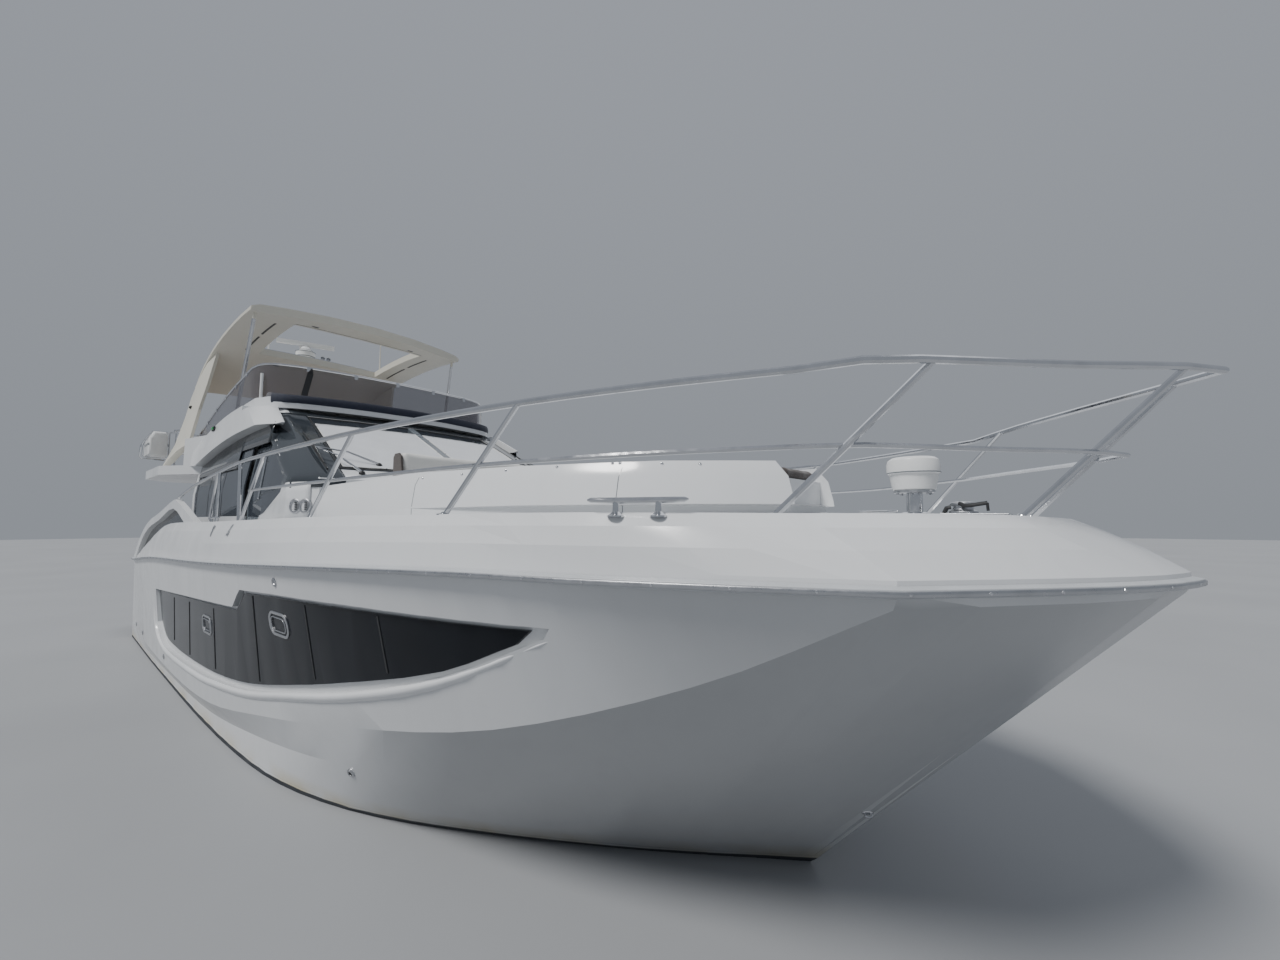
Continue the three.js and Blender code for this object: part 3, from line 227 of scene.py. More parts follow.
# Each finish: the record's material that it belongs to, and how it looks
FINISH = {
    "hull": ("hull_gelcoat", gelcoat("hull_gelcoat_paint", (0.64, 0.655, 0.67), afloat_with_painted_shade=True)),
    "deck": ("deck_gelcoat", gelcoat("deck_gelcoat_paint", (0.72, 0.735, 0.75), nonskid=True)),
    "cream": ("hardtop_cream", gelcoat("hardtop_cream_paint", (0.66, 0.64, 0.56), 0.28, 0.42)),
    "rub": ("rub_rail_vinyl", plastic("rub_rail_band", (0.5, 0.52, 0.54), 0.28, 0.42)),
    "steel": ("stainless", metal("polished_steel", (0.66, 0.67, 0.69), 0.08, 0.2)),
    "dull_steel": ("stainless", metal("brushed_steel", (0.5, 0.51, 0.53), 0.25, 0.4)),
    "bronze": ("bronze", metal("cast_bronze", (0.5, 0.36, 0.19), 0.3, 0.5, 0.2)),
    "dark_glass": ("dark_glass",
                   glass("hull_window_glass", (0.012, 0.014, 0.018), 1.0, 0.08, 0.14, mirror=0.1)),
    "cabin_glass": ("cabin_glass", glass("cabin_window_glass", (0.05, 0.06, 0.075), 0.82)),
    "smoke": ("smoked_acrylic", glass("smoked_acrylic_sheet", (0.075, 0.07, 0.09), 0.46)),
    "mesh_cover": ("white_vinyl", woven("windscreen_cover_mesh", (0.6, 0.62, 0.65), 520, 0.5, 0.65, 0.2)),
    "grey_panel": ("cabin_glass", plastic("pillar_panel", (0.13, 0.15, 0.17), 0.2, 0.32, (90, 0.03))),
    "white_vinyl": ("white_vinyl", leather("white_vinyl_cover", (0.7, 0.7, 0.68))),
    "brown": ("brown_fabric", woven("dark_brown_weave", (0.055, 0.044, 0.04), 380)),
    "navy": ("brown_fabric", woven("navy_canvas", (0.02, 0.025, 0.045), 460)),
    "pillar": ("cabin_glass", glass("pillar_dark_glass", (0.035, 0.042, 0.05), 1.0, 0.04, 0.14)),
    "white": ("white_plastic", plastic("white_moulding", (0.74, 0.75, 0.75), 0.18, 0.3, (60, 0.04))),
    "black": ("interior_lacquer", plastic("black_rubber", (0.018, 0.019, 0.021), 0.4, 0.6)),
    "lacquer": ("interior_lacquer", plastic("interior_lacquer_finish", (0.24, 0.22, 0.2), 0.35, 0.5)),
    "teak": ("teak", wood("oiled_teak", (0.36, 0.23, 0.13))),
    "lamp": ("white_plastic", plastic("lamp_lens", (0.75, 0.76, 0.74), 0.1, 0.2)),
    "red": ("white_plastic", plastic("red_lens", (0.4, 0.02, 0.02), 0.1, 0.2)),
    "green": ("white_plastic", plastic("green_lens", (0.02, 0.3, 0.08), 0.1, 0.2)),
}


def soften(o, width, angle):
    bevel = o.modifiers.new("edge", "BEVEL")
    bevel.width = width
    bevel.segments = 2
    bevel.limit_method = "ANGLE"
    bevel.angle_limit = math.radians(angle)
    bevel.harden_normals = True


# Frame nodes keep their shape and get their finish, with softened edges
def dress(names, finish, edge=0.0, angle=28):
    for name in names.split():
        o = NODES[name]
        mesh = o.data
        mesh.materials.clear()
        mesh.materials.append(FINISH[finish][1])
        if "custom_normal" in mesh.attributes:
            mesh.attributes.remove(mesh.attributes["custom_normal"])
        mesh.polygons.foreach_set("use_smooth", [True] * len(mesh.polygons))
        o.modifiers.new("weld", "WELD").merge_threshold = 0.00005
        if edge:
            soften(o, edge, angle)
        else:
            o.modifiers.new("edge", "EDGE_SPLIT").split_angle = math.radians(angle)


dress("hull", "hull", 0.005, 16)
dress("deck", "deck", 0.008, 8)
dress("rub_rail", "rub", 0.004, 30)
dress("hull_window_port hull_window_stbd cockpit_glass_port cockpit_glass_stbd", "dark_glass")
dress("swim_platform transom_gate_port transom_gate_stbd locker_lid stair_hatch", "deck", 0.006)
dress("deckhouse saloon_bulkhead", "deck", 0.008)
dress("side_glass_port side_glass_stbd corner_glass_stbd helm_door saloon_door windscreen", "cabin_glass")
dress("saloon_interior", "lacquer", 0.01)
dress("lounge flybridge", "deck", 0.013)
dress("fascia_port fascia_stbd", "deck", 0.012, 42)
dress("searchlight radar_bar life_raft", "white", 0.004)
dress("radar_mast", "white", 0.003)
dress("bow_rail rail_posts_port rail_posts_stbd fly_rail deflector_rail", "steel", 0, 40)
dress("wind_deflector", "smoke", 0, 40)
dress("hardtop arch_leg_port arch_leg_stbd", "cream", 0.012, 25)
dress("stairs cockpit_table", "teak", 0.005)
dress("shaft_port shaft_stbd", "dull_steel", 0, 40)
dress("strut_port strut_stbd propeller_port propeller_stbd rudder_port rudder_stbd", "bronze", 0.002)

# Camera: heading, pitch and focal length were solved in the photo's frame of 1280 by 960 pixels
HEADING = math.radians(130.474)
PITCH = math.radians(4.635)
FRAME_WIDTH, FRAME_HEIGHT, FOCAL = 1280, 960, 518
camera = bpy.data.objects.new("camera", bpy.data.cameras.new("camera"))
scene.collection.objects.link(camera)
camera.location = (7.365, -3.302, 2.12)
aim = Vector((math.cos(HEADING) * math.cos(PITCH), math.sin(HEADING) * math.cos(PITCH), math.sin(PITCH)))
camera.rotation_mode = "QUATERNION"
camera.rotation_quaternion = aim.to_track_quat("-Z", "Y")
camera.data.sensor_width = 36
camera.data.lens = camera.data.sensor_width * FOCAL / FRAME_WIDTH
camera.data.clip_start = 0.05
camera.data.clip_end = 500
scene.camera = camera


# Builders
def curve(points, steps=6):
    points = [Vector(p) for p in points]
    ends = [points[0] * 2 - points[1], *points, points[-1] * 2 - points[-2]]
    out = []
    for a, b, c, d in zip(ends, ends[1:], ends[2:], ends[3:]):
        for k in range(steps):
            t = k / steps
            out.append(0.5 * (2 * b + (c - a) * t + (2 * a - 5 * b + 4 * c - d) * t ** 2
                              + (3 * b - a - 3 * c + d) * t ** 3))
    return out + [points[-1]]


def disc(sides):
    turns = [2 * math.pi * k / sides for k in range(sides)]
    return [(math.cos(a), math.sin(a)) for a in turns]


def strip(width, depth, soft=0.3):
    w, d, s = width / 2, depth, depth * soft
    return [(-w, 0), (-w, d - s), (-w + s, d), (w - s, d), (w, d - s), (w, 0)]


def level(vector):
    return Vector((vector.x, vector.y, 0)).normalized()


def across_ship(points):
    return [Vector((p.x, -p.y, p.z)) for p in points]


# Four corners of a panel across the ship that runs from x0 at height z0 to x1 at height z1
def panel(x0, z0, x1, z1, y0, y1):
    return [(x0, y0, z0), (x1, y0, z1), (x1, y1, z1), (x0, y1, z0)]


def headings(path, closed):
    for i, p in enumerate(path):
        before = path[i - 1] if i or closed else p
        after = path[(i + 1) % len(path)] if closed or i < len(path) - 1 else p
        yield (after - before).normalized()


class Shape:
    def __init__(self):
        self.verts, self.faces = [], []

    def rings(self, rings, closed=False):
        base, n, count = len(self.verts), len(rings[0]), len(rings)
        for ring in rings:
            self.verts += [Vector(p) for p in ring]
        for i in range(count if closed else count - 1):
            j = (i + 1) % count
            for k in range(n):
                m = (k + 1) % n
                self.faces.append([base + i * n + k, base + i * n + m, base + j * n + m, base + j * n + k])
        if not closed:
            self.faces.append([base + k for k in reversed(range(n))])
            self.faces.append([base + (count - 1) * n + k for k in range(n)])
        return self

    def grid(self, lines):
        base, n = len(self.verts), len(lines[0])
        for line in lines:
            self.verts += line
        for i in range(len(lines) - 1):
            for k in range(base + i * n, base + i * n + n - 1):
                self.faces.append([k, k + 1, k + n + 1, k + n])
        return self

    # hits: pairs of spot and normal; profile: pairs of width across the path and height off the surface
    def hug(self, hits, profile, closed=False):
        rings = []
        for (spot, normal), along in zip(hits, headings([spot for spot, _ in hits], closed)):
            side = along.cross(normal).normalized()
            lift = side.cross(along).normalized()
            rings.append([spot + side * u + lift * v for u, v in profile])
        return self.rings(rings, closed)

    def tube(self, path, radius, sides=8, closed=False):
        path = [Vector(p) for p in path]
        radii = radius if isinstance(radius, list) else [radius] * len(path)
        side = None
        rings = []
        for p, along, r in zip(path, headings(path, closed), radii):
            side = along.orthogonal() if side is None else side
            side = (side - along * side.dot(along)).normalized()
            other = along.cross(side)
            rings.append([p + side * u * r + other * v * r for u, v in disc(sides)])
        return self.rings(rings, closed)

    # profile: pairs of radius and height along the axis
    def turned(self, profile, centre, axis=UP, sides=20):
        axis = Vector(axis).normalized()
        side = axis.orthogonal().normalized()
        other = axis.cross(side)
        spot = Vector(centre)
        return self.rings([[spot + axis * h + (side * u + other * v) * max(r, 1e-5) for u, v in disc(sides)]
                           for r, h in profile])

    def slab(self, outline, offset):
        outline = [Vector(p) for p in outline]
        return self.rings([outline, [p + Vector(offset) for p in outline]])

    def block(self, corner, opposite):
        (a, d), (b, e), (c, f) = (sorted(pair) for pair in zip(corner, opposite))
        return self.slab(panel(a, c, d, c, b, e), (0, 0, f - c))

    def moved(self, matrix):
        self.verts = [matrix @ v for v in self.verts]
        return self

    def with_mirror(self):
        count = len(self.verts)
        self.verts += across_ship(self.verts)
        self.faces += [[i + count for i in reversed(face)] for face in self.faces]
        return self

    def mirrored(self):
        other = Shape()
        other.verts = across_ship(self.verts)
        other.faces = [list(reversed(face)) for face in self.faces]
        return other

    def place(self, name, finish, body="yacht", bevel=0.0, crease=35, sheet=0.0):
        mesh = bpy.data.meshes.new(name)
        mesh.from_pydata([tuple(v) for v in self.verts], [], self.faces)
        work = bmesh.new()
        work.from_mesh(mesh)
        bmesh.ops.recalc_face_normals(work, faces=work.faces)
        for face in work.faces:
            face.smooth = True
        for edge in work.edges:
            edge.smooth = bevel > 0 or edge.calc_face_angle(0) < math.radians(crease)
        work.to_mesh(mesh)
        work.free()
        o = bpy.data.objects.new(name, mesh)
        scene.collection.objects.link(o)
        slot, material = FINISH[finish]
        mesh.materials.append(material)
        if bevel:
            soften(o, bevel, crease)
        if sheet:
            skin = o.modifiers.new("sheet", "SOLIDIFY")
            skin.thickness = sheet
            skin.offset = -1
        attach(o, body)
        return o


def both(shape, name, finish, **kw):
    shape.mirrored().place(name + "_port", finish, **kw)
    shape.place(name + "_stbd", finish, **kw)


# Where a line meets the frame's solids: the spot, and the surface's normal towards the line's start
TREES = {}


def drop(origin, heading, *names):
    best = None
    for name in names:
        if name not in TREES:
            mesh = NODES[name].data
            TREES[name] = BVHTree.FromPolygons([v.co for v in mesh.vertices],
                                               [p.vertices for p in mesh.polygons])
        spot, normal, _, far = TREES[name].ray_cast(Vector(origin), Vector(heading).normalized())
        if spot and (best is None or far < best[2]):
            best = (spot, normal, far)
    if best is None:
        raise ValueError(f"nothing met from {tuple(origin)} towards {tuple(heading)} on {names}")
    spot, normal, _ = best
    return spot, (normal if normal.dot(Vector(heading)) < 0 else -normal)


def seen(u, v, *names):
    right = aim.cross(UP).normalized()
    over = right.cross(aim)
    return drop(camera.location, aim + right * ((u - FRAME_WIDTH / 2) / FOCAL)
                + over * ((FRAME_HEIGHT / 2 - v) / FOCAL), *names)


def beside(x, z, *names):
    return drop((x, -6, z), PORT, *names)


def below(x, y, *names, top=2.9):
    return drop((x, y, top), -UP, *names)


def above(x, y, *names, start=-3):
    return drop((x, y, start), UP, *names)


def ahead(y, z, *names, start=6):
    return drop((start, y, z), -BOW, *names)


def astern(y, z, *names, start=-9):
    return drop((start, y, z), BOW, *names)


def inboard(side, x, z, *names):
    return drop((x, side * 6, z), -side * PORT, *names)


def under_roof(x, y):
    return above(x, y, "hardtop", start=4.2)


def over_roof(x, y):
    return below(x, y, "hardtop", top=6)


def trace(points, steps, cast, *names):
    hits = []
    for p, q in zip(points, points[1:]):
        for k in range(steps):
            hits.append(cast(*(a + (b - a) * k / steps for a, b in zip(p, q)), *names))
    return hits + [cast(*points[-1], *names)]


def plate_axes(normal):
    up = (UP - normal * normal.z).normalized()
    return up, up.cross(normal)


# Cushions: each starts as a rounded pad in its own plane, then swells under pressure
PADS = []
EDGE_PULL = 0.012
CLOTH_STEPS = 20
SEAM_DEPTH, SEAM_SPREAD = 0.011, 0.011


def bake(o):
    bpy.context.view_layer.update()
    mesh = bpy.data.meshes.new_from_object(o.evaluated_get(bpy.context.evaluated_depsgraph_get()))
    o.modifiers.clear()
    o.data = mesh


def lying(z):
    return Matrix.Translation((0, 0, z))


def leaning(x, y, z, turn, tilt):
    return (Matrix.Translation((x, y, z)) @ Matrix.Rotation(math.radians(turn), 4, "Z")
            @ Matrix.Rotation(math.radians(90 - tilt), 4, "X"))


def pad(name, corners, thick, at, finish="white_vinyl", soft=0.03, voxel=0.016, swell=0.012, seams=(),
        stands_for=None):
    corners = [Vector((*c, 0)) for c in corners]
    area = sum(a.x * b.y - b.x * a.y for a, b in zip(corners, corners[1:] + corners[:1]))
    corners = corners if area > 0 else corners[::-1]
    ring = []
    for p, q in zip(corners, corners[1:] + corners[:1]):
        side = q - p
        inward = Vector((-side.y, side.x, 0)).normalized()
        trim = min(soft * 1.3, side.length / 3) / side.length
        steps = max(2, int(side.length / 0.09))
        for k in range(steps + 1):
            t = trim + (1 - 2 * trim) * k / steps
            ring.append(p.lerp(q, t) + inward * EDGE_PULL * 4 * t * (1 - t))
    inner = []
    for i in range(len(ring)):
        way = ring[(i + 1) % len(ring)] - ring[i - 1]
        inner.append(Vector((-way.y, way.x, 0)).normalized())
    levels = [(soft, 0), (soft * 0.3, soft * 0.3), (0, soft), (0, thick - soft),
              (soft * 0.3, thick - soft * 0.3), (soft, thick)]
    shape = Shape().rings([[p + n * d + UP * h for p, n in zip(ring, inner)] for d, h in levels])
    o = shape.moved(at).place(name, finish)
    if stands_for:
        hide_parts(stands_for)
    cells = o.modifiers.new("cells", "REMESH")
    cells.mode = "VOXEL"
    cells.voxel_size = voxel
    PADS.append((o, at, thick, swell, seams))


def swell_pads():
    for o, *_ in PADS:
        bake(o)
    kept = [[v.co.copy() for v in o.data.vertices] for o, *_ in PADS]
    for o, *_ in PADS:
        cloth = o.modifiers.new("cloth", "CLOTH")
        cloth.settings.quality = 4
        cloth.settings.use_pressure = True
        cloth.settings.uniform_pressure_force = 4
        cloth.settings.effector_weights.gravity = 0
        cloth.settings.shrink_min = -0.02
    for step in range(1, CLOTH_STEPS + 1):
        scene.frame_set(step)
    for o, *_ in PADS:
        bake(o)
    scene.frame_set(1)
    for (o, at, thick, swell, seams), start in zip(PADS, kept):
        back = at.inverted()
        up = at.to_3x3() @ UP
        for v, old in zip(o.data.vertices, start):
            away = v.co - old
            if away.length > swell:
                away *= swell / away.length
            spot = back @ old
            if spot.z < thick * 0.3:
                away -= up * min(0.0, away.dot(up))
            v.co = old + away
            if spot.z > thick * 0.6:
                for axis, line in seams:
                    near = (spot[axis] - line) / SEAM_SPREAD
                    v.co -= up * SEAM_DEPTH * math.exp(-near * near)
        for face in o.data.polygons:
            face.use_smooth = True
        smooth = o.modifiers.new("smooth", "SUBSURF")
        smooth.levels = smooth.render_levels = 1


def rect(x0, x1, y0, y1):
    return [(x0, y0), (x1, y0), (x1, y1), (x0, y1)]


# Sunpad in three parts, with lengthwise channels
def sunpad_half(x):
    return 1.15 - 0.12 * (x - 2.62) / 0.88 if x < 3.5 else 1.03 - 0.27 * (x - 3.5) / 1.2


NOSE = 4.7
for tag, x0, x1 in (("a", 2.63, 3.46), ("b", 3.475, 4.29), ("c", 4.305, 5.14)):
    y0, y1 = sunpad_half(x0) - 0.012, sunpad_half(min(x1, NOSE)) - 0.012
    plan = [(x0, -y0), (min(x1, NOSE), -y1), (min(x1, NOSE), y1), (x0, y0)]
    if x1 > NOSE:
        plan = [(x0, -y0), (NOSE, -y1), (x1, -0.55), (x1, 0.55), (NOSE, y1), (x0, y0)]
    pad("sunpad_" + tag, plan, 0.108, lying(2.266), voxel=0.022, swell=0.014,
        seams=[(1, y) for y in (-0.69, -0.23, 0.23, 0.69)], stands_for="sunpad")

pad("backrest_pad", [(2.315, -1.035), (2.5, -1.055), (2.552, 0), (2.5, 1.055), (2.315, 1.035), (2.312, 0)],
    0.31, lying(2.47), voxel=0.018, swell=0.01, stands_for="backrest")
pad("fore_seat_pad", [(5.31, -0.5), (5.56, -0.29), (5.75, -0.1), (5.77, 0), (5.75, 0.1),
                      (5.56, 0.29), (5.31, 0.5)],
    0.13, lying(2.267), "brown", voxel=0.014, stands_for="fore_seat")
pad("fore_seat_roll", [(5.63, -0.235), (5.962, -0.235), (5.972, 0), (5.962, 0.235), (5.63, 0.235)], 0.062,
    lying(2.402), "brown", soft=0.022, voxel=0.011, swell=0.008, stands_for="fore_seat")

# Flybridge helm seat and sofa
pad("fly_helm_pad", rect(-2.3, -1.87, -1.18, -0.42), 0.085, lying(3.562), seams=[(1, -0.8)])
pad("fly_helm_back", rect(-0.37, 0.37, 0.04, 0.48), 0.075, leaning(-2.262, -0.8, 3.56, 90, 9),
    seams=[(0, 0.0)])
for k, (x0, x1) in enumerate(((-3.19, -2.36), (-2.35, -1.51)), 1):
    pad(f"fly_sofa_pad_{k}", rect(x0, x1, 0.84, 1.32), 0.1, lying(3.402), seams=[(0, (x0 + x1) / 2)])
    pad(f"fly_sofa_back_{k}", rect(x0 + 0.005, x1 - 0.005, 0.11, 0.36), 0.07, leaning(0, 1.328, 3.4, 0, 6))

# Cockpit sofa along the transom
for k, (y0, y1) in enumerate(((-1.07, -0.095), (-0.085, 0.89)), 1):
    middle = (y0 + y1) / 2
    pad(f"cockpit_pad_{k}", rect(-5.68, -5.14, y0, y1), 0.1, lying(1.342), seams=[(1, middle)])
    pad(f"cockpit_back_{k}", rect(y0 + 0.005, y1 - 0.005, 0.0, 0.3), 0.08, leaning(-5.6, 0, 1.445, 90, 6),
        seams=[(0, middle)])

# Saloon sofa and helm seat
for k, (x0, x1) in enumerate(((-2.29, -1.44), (-1.43, -0.57), (-0.56, 0.29)), 1):
    pad(f"saloon_pad_{k}", rect(x0, x1, 0.76, 1.28), 0.1, lying(1.402), "brown")
    pad(f"saloon_back_{k}", rect(x0 + 0.005, x1 - 0.005, 0.11, 0.46), 0.08, leaning(0, 1.288, 1.4, 0, 4),
        "brown")
pad("saloon_helm_pad", rect(-0.335, 0.04, -1.24, -0.56), 0.09, lying(1.502), "brown")
pad("saloon_helm_back", rect(-0.33, 0.33, 0.1, 0.62), 0.08, leaning(-0.255, -0.9, 1.5, 90, 2), "brown")

swell_pads()

# Rub rail: a steel strip with screws round the whole sheer
RAIL = [(-6.17, 2.004, 1.431), (-5.4, 2.06, 1.455), (-4.5, 2.13, 1.5), (-2.4, 2.18, 1.62), (0.4, 2.2, 1.7),
        (1.9, 2.2, 1.75), (3.65, 2.16, 1.82), (5.01, 1.99, 1.86), (5.67, 1.838, 1.863), (6.23, 1.65, 1.864),
        (6.87, 1.372, 1.862), (7.13, 1.065, 1.86), (7.4, 0.705, 1.856), (7.62, 0.3, 1.85), (7.712, 0, 1.845)]
STRIP_LIFT = 0.0145
SCREW_PITCH = 0.3
sheer = curve(RAIL, 5)
sheer += across_ship(reversed(sheer[:-1]))
hits = []
for q, way in zip(sheer, headings(sheer, False)):
    out = Vector((-way.y, way.x, 0)).normalized() * (-1 if way.y * q.x > 0 and q.x < 0 else 1)
    spot, normal = drop(q + out * 0.4 + UP * STRIP_LIFT, -out, "rub_rail")
    hits.append((spot, level(normal)))
Shape().hug(hits, strip(0.021, 0.0045, 0.4)).place("rub_rail_strip", "dull_steel", crease=50)
shape = Shape()
run, last = 0.0, hits[0][0]
for spot, normal in hits[1:]:
    step = (spot - last).length
    while run + step > SCREW_PITCH:
        share = (SCREW_PITCH - run) / step
        last = last.lerp(spot, share)
        step *= 1 - share
        run = 0.0
        shape.turned([(0.0065, 0), (0.0055, 0.0022), (0, 0.003)], last + normal * 0.0043, normal, 8)
    run += step
    last = spot
shape.place("rub_rail_screws", "steel")

# Hull window: raked pane joints, opening portlights and the ledge that runs under it
PANE_RAKE = 0.12
shape = Shape()
for x, z0, z1 in ((-1.02, 0.71, 1.22), (-0.11, 0.68, 1.26), (1.02, 0.73, 1.31), (2.28, 0.85, 1.54),
                  (3.35, 1.06, 1.57), (4.26, 1.25, 1.59)):
    hits = trace([(x, z0), (x + (z1 - z0) * PANE_RAKE, z1)], 8, beside, "hull_window_stbd")
    shape.hug(hits, strip(0.016, 0.004))
both(shape, "window_joint", "black")


def oblong(x0, x1, z0, z1, *names, steps=7):
    r = (z1 - z0) * 0.42
    hits = []
    for cx, cz, turn in ((x1 - r, z1 - r, 0), (x0 + r, z1 - r, 90), (x0 + r, z0 + r, 180),
                         (x1 - r, z0 + r, 270)):
        for k in range(steps):
            a = math.radians(turn + 90 * k / (steps - 1))
            hits.append(beside(cx + r * math.cos(a), cz + r * math.sin(a), *names))
    return hits


shape = Shape()
for x0, x1, z0, z1 in ((2.72, 3.06, 1.3, 1.46), (0.62, 0.96, 1.04, 1.2)):
    for inset, width, depth in ((0, 0.022, 0.009), (0.03, 0.008, 0.012)):
        hits = oblong(x0 + inset, x1 - inset, z0 + inset, z1 - inset, "hull_window_stbd")
        shape.hug(hits, strip(width, depth, 0.4), closed=True)
both(shape, "portlight_frame", "dull_steel")

LEDGE = [(5.52, 1.6), (4.72, 1.282), (3.78, 1.04), (2.84, 0.862), (2.0, 0.715), (1.1, 0.622), (0.33, 0.565),
         (-1.09, 0.525), (-1.75, 0.56), (-2.15, 0.7), (-2.28, 0.95), (-2.27, 1.2)]
LEDGE_SECTION = [(-0.045, 0), (-0.03, 0.014), (-0.008, 0.024), (0.012, 0.024), (0.022, 0.016), (0.026, 0)]
hits = [beside(q.x, q.z - 0.012, "hull") for q in curve([(x, 0, z) for x, z in LEDGE])]
rings = []
for i, ((spot, normal), way) in enumerate(zip(hits, headings([spot for spot, _ in hits], False))):
    side = way.cross(normal).normalized()
    taper = min(1.0, (i + 1) / 9, (len(hits) - i) / 9)
    rings.append([spot + side * u * taper + normal * (v * taper - 0.004) for u, v in LEDGE_SECTION])
both(Shape().rings(rings), "window_ledge", "deck", crease=60)

# Vent and drains in the topsides, and scupper plates on the deck slope
DRAINS = ((3.4, 0.38), (-1.6, 0.42), (-3.9, 0.4), (-5.2, 0.36))
shape = Shape().turned([(0.033, 0), (0.033, 0.006), (0.026, 0.011), (0.018, 0.008), (0.015, 0.001)],
                       *beside(3.03, 1.7, "hull"), 18)
bore = Shape()
for x, z in DRAINS:
    hit = beside(x, z, "hull")
    shape.turned([(0.034, -0.002), (0.034, 0.006), (0.026, 0.01), (0.018, 0.009), (0.016, -0.004)], *hit, 18)
    bore.turned([(0.0165, 0.0), (0.015, 0.005), (0, 0.0055)], *hit, 14)
both(shape, "hull_drain", "dull_steel")
both(bore, "drain_bore", "black")

SCUPPER_PIXELS = ((212.7, 531), (230, 530))
shape = Shape()
for u, v in SCUPPER_PIXELS:
    spot, normal = seen(u, v, "deck")
    up, across = plate_axes(normal)
    ring = []
    for c, s in disc(24):
        ring.append(across * 0.022 * c + up * (0.022 * s + math.copysign(0.035, s + 1e-6 * c)))
    shape.rings([[spot + q * size + normal * lift for q in ring]
                 for size, lift in ((1, -0.002), (1, 0.004), (0.86, 0.006), (0.7, 0.003))])
both(shape, "scupper_plate", "dull_steel")

# Low eye on each side of the stem
BOW_EYE_PIXEL = (867.5, 812.5)
spot, normal = seen(*BOW_EYE_PIXEL, "hull")
up, across = plate_axes(normal)
shape = Shape()
shape.rings([[spot + normal * lift + (across * 0.034 * u + up * 0.017 * v) * size for u, v in disc(20)]
             for size, lift in ((1.0, -0.002), (1.0, 0.003), (0.8, 0.006))])
loop = [spot + across * u + normal * v
        for u, v in ((-0.018, 0.004), (-0.014, 0.022), (0.014, 0.022), (0.018, 0.004))]
both(shape.tube(curve(loop, 5), 0.005), "bow_eye", "steel")


# Deck cleats with two legs and tapered horns
def cleat(shape, x, y, turn, size=0.44):
    spot, _ = below(x, y, "deck")
    half = Vector((math.cos(turn), math.sin(turn), 0)) * (size / 2)
    bar = [spot + half * t + UP * (0.066 + 0.004 * t * t) for t in (-1, -0.92, -0.5, 0, 0.5, 0.92, 1)]
    shape.tube(bar, [0.004, 0.012, 0.014, 0.015, 0.014, 0.012, 0.004], 10)
    for t in (-0.42, 0.42):
        shape.turned([(0.036, -0.004), (0.036, 0.004), (0.026, 0.009), (0.015, 0.02), (0.013, 0.066)],
                     spot + half * t, sides=16)


shape = Shape()
for x, y, turn in ((5.95, 1.665, 2.7), (0.35, 2.045, 3.13), (-5.3, 1.93, 3.1)):
    cleat(shape, x, y, turn)
    cleat(shape, x, -y, -turn)
shape.place("deck_cleats", "steel")

# Searchlight: polished post, dark foot plate, and a thin dark band round its drum that paints the shadow line
# there
LIGHT = (6.63, 0, 0)
z = below(LIGHT[0], 0.06, "deck")[0].z
shape = Shape().turned([(0.041, z), (0.0432, z + 0.002), (0.0432, 2.285), (0.041, 2.287)], LIGHT, sides=24)
shape.turned([(0.075, z - 0.004), (0.075, z + 0.006), (0.06, z + 0.012), (0.043, z + 0.014)], LIGHT, sides=24)
shape.place("searchlight_post", "steel")
shape = Shape().turned([(0.102, 2.2865), (0.108, 2.288), (0.108, 2.3), (0.102, 2.3015)], LIGHT, sides=28)
for k in range(6):
    a = math.radians(30 + 60 * k)
    shape.turned([(0.009, 2.276), (0.009, 2.289)], (LIGHT[0] + 0.088 * math.cos(a), 0.088 * math.sin(a), 0),
                 sides=6)
shape.place("searchlight_plate", "dull_steel")
# Painted shadow: a dark ring standing for the shade in the groove round the drum
shape = Shape().turned([(0.1385, 2.3985), (0.1425, 2.4), (0.1425, 2.4035), (0.1385, 2.405)], LIGHT, sides=32)
shape.place("searchlight_painted_shadow_band", "grey_panel")

# Windlass ahead of the searchlight: deck plate, chain gypsy, drum and hand lever
spot, _ = below(6.87, 0.02, "deck")
z = spot.z
shape = Shape().slab(panel(6.775, z - 0.008, 7.08, z - 0.012, -0.1, 0.1), (0, 0, 0.018))
shape.turned([(0.07, 0), (0.07, 0.02), (0.052, 0.03), (0.046, 0.046), (0.066, 0.058), (0.062, 0.068),
              (0.03, 0.074), (0, 0.076)], (6.87, 0, z), sides=24)
shape.place("windlass", "dull_steel", bevel=0.002)
shape = Shape()
shape.tube(curve([(6.86, -0.055, z + 0.062), (6.9, -0.075, z + 0.05), (6.99, -0.08, z + 0.062)], 5),
           0.011, 10)
shape.tube([(6.99, -0.08, z + 0.062), (6.992, -0.08, z + 0.02)], 0.007)
shape.tube([(6.775, 0, z + 0.008), (6.79, 0, z + 0.04), (6.81, 0, z + 0.044)], 0.012)
shape.place("windlass_lever", "black")

# Feet of the rail posts: each post's line, from a point low on it to its top, is followed to the deck
POSTS = [(1.4, 2.052, 1.34, 2.052, 2.68), (1.4, 2.052, 2.13, 2.06, 2.682), (0.52, 2.052, 0.53, 2.052, 2.64),
         (0.16, 2.052, 0.45, 2.052, 2.632), (3.06, 2.012, 3.865, 2.01, 2.685),
         (4.734, 1.9, 5.345, 1.827, 2.685),
         (6.33, 1.327, 6.96, 1.075, 2.746), (7.092, 0.284, 7.73, 0.187, 2.773)]
POST_START = 2.08
shape = Shape()
for x, y, top_x, top_y, top_z in POSTS:
    spot, _ = below(x, y, "deck", top=2.4)
    t = (spot.z - POST_START) / (top_z - POST_START)
    hit = below(x + (top_x - x) * t, y + (top_y - y) * t, "deck", top=2.4)
    shape.turned([(0.04, -0.003), (0.04, 0.003), (0.034, 0.007), (0.022, 0.009), (0.019, 0.02),
                  (0.0155, 0.024)], *hit, 18)
shape.with_mirror().place("rail_feet", "steel")

